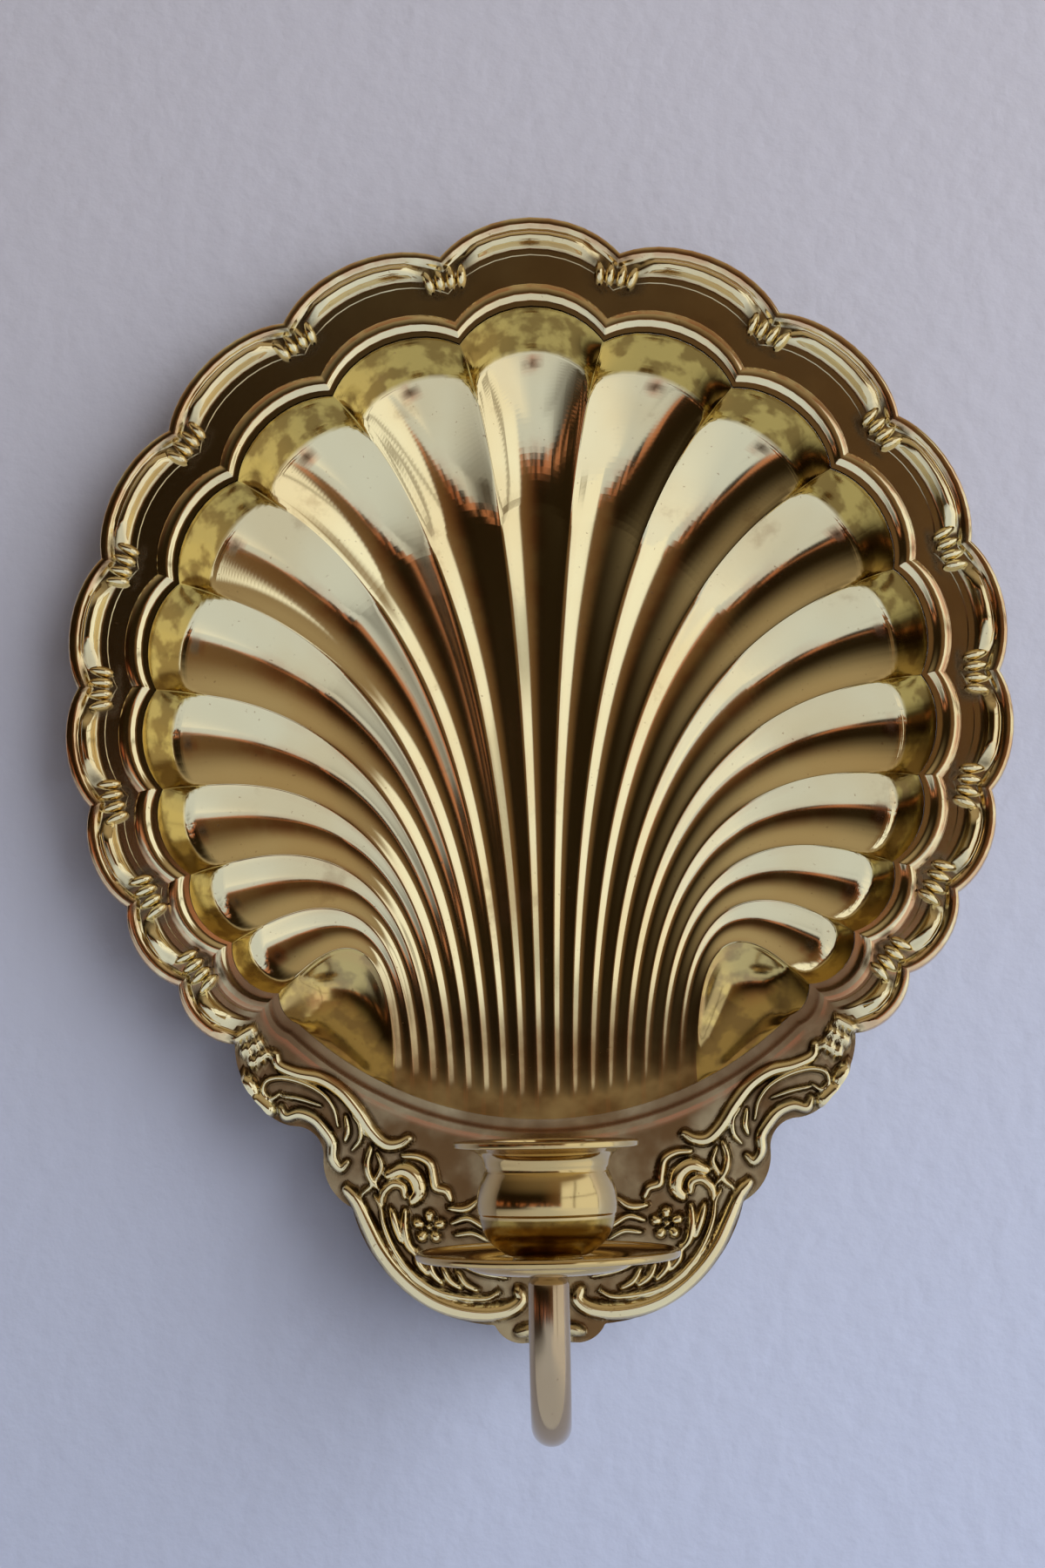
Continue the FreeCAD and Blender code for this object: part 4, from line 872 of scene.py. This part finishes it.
arm_radii = np.full(len(arm_path), rod)
arm_radii[-3:] = rod * shoulder, neck_radius, neck_radius
arm = swept_object("arm_look", arm_path, arm_radii)
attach(arm, "root")
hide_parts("arm")
print("arm from", arm_path[0], "to", arm_path[-1])

# %% [markdown]
# ## Materials
#
# Brass is a metal whose colour comes from its reflections, so one recipe serves all the pieces:
# a base colour that drifts between pale and red gold, tarnish in blotches and small pits, and
# fine scratches that vary the roughness.

# %% Shader helper


class Value:
    """A socket whose arithmetic adds nodes."""

    def __init__(self, tree, socket):
        self.tree = tree
        self.socket = socket

    def _math(self, operation, *values):
        return node(self.tree, "ShaderNodeMath", {"operation": operation}, *values)

    def __add__(self, other):
        return self._math("ADD", self, other)

    def __sub__(self, other):
        return self._math("SUBTRACT", self, other)

    def __rsub__(self, other):
        return self._math("SUBTRACT", other, self)

    def __mul__(self, other):
        return self._math("MULTIPLY", self, other)

    __radd__ = __add__
    __rmul__ = __mul__


def node(tree, kind, settings, *values, out=0, **named):
    """A new node: its settings, then its sockets in order or by name; returns one output."""
    made = tree.nodes.new(kind)
    for key, setting in settings.items():
        setattr(made, key, setting)
    pairs = list(zip(made.inputs, values))
    pairs += [(made.inputs[key.replace("_", " ")], value) for key, value in named.items()]
    for socket, value in pairs:
        if isinstance(value, Value):
            tree.links.new(value.socket, socket)
        elif value is not None:
            socket.default_value = value
    return Value(tree, made.outputs[out])


def ramp(tree, value, low, high):
    """0 below low and 1 above high."""
    return node(tree, "ShaderNodeMapRange", {"interpolation_type": "SMOOTHSTEP"}, value, low, high)


def mixed(tree, mask, first, second):
    """A colour between two colours."""
    made = tree.nodes.new("ShaderNodeMix")
    made.data_type = "RGBA"
    for index, value in ((0, mask), (6, first), (7, second)):
        if isinstance(value, Value):
            tree.links.new(value.socket, made.inputs[index])
        else:
            made.inputs[index].default_value = value
    return Value(tree, made.outputs[2])


def noise(tree, where, scale, detail=3.0, roughness=0.5):
    """Noise between 0 and 1 over the object."""
    return node(tree, "ShaderNodeTexNoise", {}, Vector=where, Scale=scale, Detail=detail,
                Roughness=roughness)


def patches(tree, where, scale, detail, low, high, roughness=0.5):
    """Patches of noise: 0 where it is below low and 1 where it is above high."""
    return ramp(tree, noise(tree, where, scale, detail, roughness), low, high)


def split(tree, value):
    """The parts of a place or a direction along X, Y and Z."""
    return [node(tree, "ShaderNodeSeparateXYZ", {}, value, out=part) for part in range(3)]


# %% [markdown]
# ## Brass
#
# All the fittings are brass, polished to different degrees, with two of steel behind the plate.
# An even colour with a low roughness looks like plastic, so the marks of the mesh bring in what
# time did, with some painted light among it: raw metal is a deeper gold, which in the coves also
# paints the reflection of brass in brass; patina is brown, which on the toe and the lower brim also
# paints shade; worn metal is copper; dirt is almost black, and beside the relief it also paints the
# shade in the creases. The bump from "lift" tilts the flutes' floors near their tips, which decides
# what part of the room they show.

# %% Brass
# Deeper gold: raw metal, and in the coves a painted reflection of brass in brass.
deep_gold, dark_gold = (0.56, 0.40, 0.11, 1), (0.30, 0.19, 0.05, 1)     # raw metal, in patches
# Brown: patina, and painted shade on the toe and the lower brim.
patina_and_shade_brown = (0.21, 0.112, 0.043, 1)
copper_red = (0.62, 0.27, 0.13, 1)
# Almost black: dirt, and painted shade in the creases beside the relief.
dirt_and_shade_brown = (0.07, 0.035, 0.012, 1)


def mark_of(tree, name):
    """A named value that the mesh carries, 0 where it has none."""
    return node(tree, "ShaderNodeAttribute", {"attribute_name": name}, out=2)


def brass(name, gold, red, tarnish, smooth):
    """Brass of two tones with blotches, dirt, painted light and scratches; smooth is its least
    roughness.
    """
    material = bpy.data.materials.new(name)
    material.use_nodes = True
    tree = material.node_tree
    shader = tree.nodes["Principled BSDF"]
    where = node(tree, "ShaderNodeTexCoord", {}, out=3)
    blotch = patches(tree, where, 55.0, 5.0, 0.60, 0.72, 0.6)
    speck = patches(tree, where, 900.0, 2.0, 0.70, 0.76)
    scratch = noise(tree, where, 2600.0, 2.0)
    raw_and_reflection = mark_of(tree, "raw_and_reflection")
    patina_and_shade = mark_of(tree, "patina_and_shade") * (patches(tree, where, 70.0, 4.0, 0.3, 0.65) * 0.4 + 0.6)
    copper = mark_of(tree, "copper") * patches(tree, where, 140.0, 4.0, 0.3, 0.6)
    dirt_and_shade = mark_of(tree, "dirt_and_shade") * patches(tree, where, 320.0, 4.0, 0.2, 0.55)
    colour = mixed(tree, patches(tree, where, 28.0, 3.0, 0.35, 0.7), gold, red)
    deep = mixed(tree, patches(tree, where, 150.0, 3.0, 0.42, 0.58), deep_gold, dark_gold)
    for mask, tone in ((raw_and_reflection, deep), (patina_and_shade, patina_and_shade_brown), (copper * 0.75, copper_red),
                       (blotch * 0.30 + speck * 0.40, tarnish), (dirt_and_shade * 0.85, dirt_and_shade_brown)):
        colour = mixed(tree, mask, colour, tone)
    rough = smooth + 0.06 * scratch + blotch * 0.05 + speck * 0.10 + dirt_and_shade * 0.2 + raw_and_reflection * 0.08
    rough = rough + patina_and_shade * 0.12
    lift = mark_of(tree, "lift")
    lifted = node(tree, "ShaderNodeBump", {}, Strength=1.0, Distance=1.0, Height=lift)
    tree.links.new(lifted.socket, shader.inputs["Normal"])
    shader.inputs["Metallic"].default_value = 1.0
    tree.links.new(colour.socket, shader.inputs["Base Color"])
    tree.links.new(rough.socket, shader.inputs["Roughness"])
    return material


shell_brass = brass("shell_brass", (0.91, 0.79, 0.48, 1), (0.86, 0.69, 0.38, 1),
                    (0.32, 0.17, 0.07, 1), 0.06)
turned_brass = brass("turned_brass", (0.66, 0.50, 0.23, 1), (0.58, 0.39, 0.17, 1),
                     (0.36, 0.20, 0.09, 1), 0.10)
rod_brass = brass("rod_brass", (0.50, 0.38, 0.24, 1), (0.42, 0.29, 0.17, 1),
                  (0.30, 0.19, 0.11, 1), 0.11)
dull_brass = brass("dull_brass", (0.66, 0.50, 0.25, 1), (0.55, 0.38, 0.18, 1),
                   (0.24, 0.15, 0.08, 1), 0.30)
steel = brass("steel", (0.60, 0.59, 0.57, 1), (0.55, 0.53, 0.50, 1), (0.30, 0.24, 0.20, 1), 0.28)

for piece, finish in ((shell, shell_brass), (cup, turned_brass), (pan, turned_brass),
                      (arm, rod_brass)):
    piece.data.materials.append(finish)
for name, finish in (("hanger_strap", dull_brass), ("arm_washer", steel), ("arm_nut", steel),
                     ("cup_screw", turned_brass)):
    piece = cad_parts[name]
    piece.data.materials.clear()
    piece.data.materials.append(finish)
    bevel = piece.modifiers.new("edges", "BEVEL")
    bevel.width, bevel.segments = 0.15 * MM, 2
print("finishes:", sorted(material.name for material in bpy.data.materials))

# %% [markdown]
# ## Stage
#
# A pale wall stands behind the sconce and a pale floor lies under it. Both are matt paint with a
# faint grain, and the wall is painted darker towards the top as painted shade. A real room has
# more light than the two lamps here, so the metal would show a floor that is too dark. More lamps
# would also change the wall. Instead the floor has a light of its own that only glossy rays see,
# brighter towards the window.

# %% Stage


def plain(name, colour, upper_shade, in_metal=None):
    """A matt finish with a faint grain and painted shade higher up; in_metal is what metal sees."""
    material = bpy.data.materials.new(name)
    material.use_nodes = True
    tree = material.node_tree
    shader = tree.nodes["Principled BSDF"]
    where = node(tree, "ShaderNodeTexCoord", {}, out=3)
    grain = noise(tree, where, 160.0, 4.0)
    sideways, _, up = split(tree, where)
    # Painted shade: the upper tone stands for the wall getting less light higher up.
    tint = mixed(tree, ramp(tree, up, -0.35, 0.05), colour, upper_shade)
    tint = mixed(tree, grain * 0.03, tint, (0.30, 0.30, 0.34, 1))
    tree.links.new(tint.socket, shader.inputs["Base Color"])
    rough_coat = node(tree, "ShaderNodeBump", {}, Strength=0.22, Distance=2 * MM, Height=grain)
    tree.links.new(rough_coat.socket, shader.inputs["Normal"])
    shader.inputs["Roughness"].default_value = 0.9
    if in_metal:
        tone = mixed(tree, ramp(tree, sideways, 0.0, 1.2), in_metal, (0.86, 0.90, 0.97, 1))
        tone = mixed(tree, ramp(tree, 0 - sideways, 0.5, 3.0) * 0.6, tone, (0.05, 0.04, 0.03, 1))
        glow = node(tree, "ShaderNodeEmission", {}, tone)
        seen = node(tree, "ShaderNodeLightPath", {}, out=3)
        output = tree.nodes["Material Output"]
        both = node(tree, "ShaderNodeMixShader", {}, seen, Value(tree, shader.outputs[0]), glow)
        tree.links.new(both.socket, output.inputs["Surface"])
    return material


def stage_sheet(name, corners, material):
    """A flat stage piece."""
    mesh = bpy.data.meshes.new(name)
    mesh.from_pydata(corners, [], [range(len(corners))])
    made = bpy.data.objects.new(name, mesh)
    bpy.context.scene.collection.objects.link(made)
    made.data.materials.append(material)
    return made


# The wall's upper tone is painted shade, darker and greyer towards the top; the floor has none.
wall_paint = plain("wall_paint", (0.44, 0.475, 0.61, 1), (0.44, 0.42, 0.465, 1))
floor_paint = plain("floor_paint", (0.60, 0.61, 0.66, 1), (0.60, 0.61, 0.66, 1),
                    (0.62, 0.69, 0.82, 1))
floor_z = plate_low.z - 350 * MM
wall_y = 1 * MM                       # just behind the strap
side, ceiling, front_y = 4, 2.2, -6   # how far the stage reaches, in metres
stage_sheet("wall", [(-side, wall_y, floor_z), (side, wall_y, floor_z), (side, wall_y, ceiling),
                     (-side, wall_y, ceiling)], wall_paint)
stage_sheet("floor", [(-side, front_y, floor_z), (side, front_y, floor_z),
                      (side, wall_y, floor_z), (-side, wall_y, floor_z)], floor_paint)
print("floor at", round(floor_z, 3))

# %% [markdown]
# ## Lamps
#
# The light comes from a window at the right, and a weak fill stands for what the room throws
# back. Metal would show a lamp as a plain white square, so both are hidden from its reflections,
# and the window that it does show is painted into the room below.

# %% Lights


def area_light(name, place, aim, width, height, power, colour):
    """A rectangular lamp at a place, turned towards a point and hidden from reflections."""
    lamp = bpy.data.lights.new(name, "AREA")
    lamp.shape = "RECTANGLE"
    lamp.size, lamp.size_y = width, height
    lamp.energy = power
    lamp.color = colour
    made = bpy.data.objects.new(name, lamp)
    bpy.context.scene.collection.objects.link(made)
    made.location = place
    made.rotation_euler = (Vector(aim) - Vector(place)).to_track_quat("-Z", "Y").to_euler()
    made.visible_glossy = False


middle = Vector((0, brim_y, rim_centre_z))
daylight = (0.90, 0.95, 1.0)
area_light("window", (1.27, -0.80, 0.05), middle, 2.2, 1.8, 40, daylight)
area_light("fill", (0.5, -1.3, -0.5), middle, 0.8, 0.8, 5, daylight)
print("lamps:", [lamp.name for lamp in bpy.data.lights])

# %% [markdown]
# ## The room that the metal shows
#
# Polished brass shows the room more than itself. A modelled room would be slow and much of it
# unseen, so the room is a background that changes with the direction: dim and warm in front,
# lighter overhead, with coppery patches just above the horizon. Below the horizon it is pale,
# and dark at the far left. To the right is a window with an upright and a level bar.

# %% Room
world = bpy.data.worlds.new("room")
bpy.context.scene.world = world
world.use_nodes = True
room = world.node_tree
looking = node(room, "ShaderNodeTexCoord", {}, out=0)
across_room, _, up_room = split(room, looking)
uneven = noise(room, looking, 9.0, 4.0)
front = mixed(room, ramp(room, across_room, -0.2, 0.35), (0.016, 0.010, 0.004, 1),
              (0.15, 0.085, 0.04, 1))
coppery = mixed(room, ramp(room, uneven, 0.42, 0.55), front, (0.48, 0.20, 0.11, 1))
pale = mixed(room, ramp(room, across_room, -0.75, -0.3), (0.05, 0.04, 0.03, 1),
             (0.62, 0.69, 0.82, 1))
colour = mixed(room, ramp(room, up_room, 0.25, 0.85), front, (0.36, 0.29, 0.19, 1))
colour = mixed(room, ramp(room, 0 - up_room, -0.11, -0.07), colour, coppery)
colour = mixed(room, ramp(room, uneven * 0.08 - up_room, 0.01, 0.04), colour, pale)
pane = ramp(room, across_room, 0.36, 0.42) * (1 - ramp(room, up_room, 0.50, 0.58))
bars = ramp(room, across_room, 0.66, 0.69) * (1 - ramp(room, across_room, 0.71, 0.74))
bars = bars + ramp(room, up_room, 0.20, 0.22) * (1 - ramp(room, up_room, 0.235, 0.255))
colour = mixed(room, pane, colour, (0.96, 0.99, 1.0, 1))
colour = mixed(room, pane * bars * 0.7, colour, (0.20, 0.17, 0.13, 1))
room.links.new(colour.socket, room.nodes["Background"].inputs["Color"])
room.nodes["Background"].inputs["Strength"].default_value = 1.0
bpy.context.scene.view_settings.view_transform = "Standard"
print("room of", len(room.nodes), "nodes")
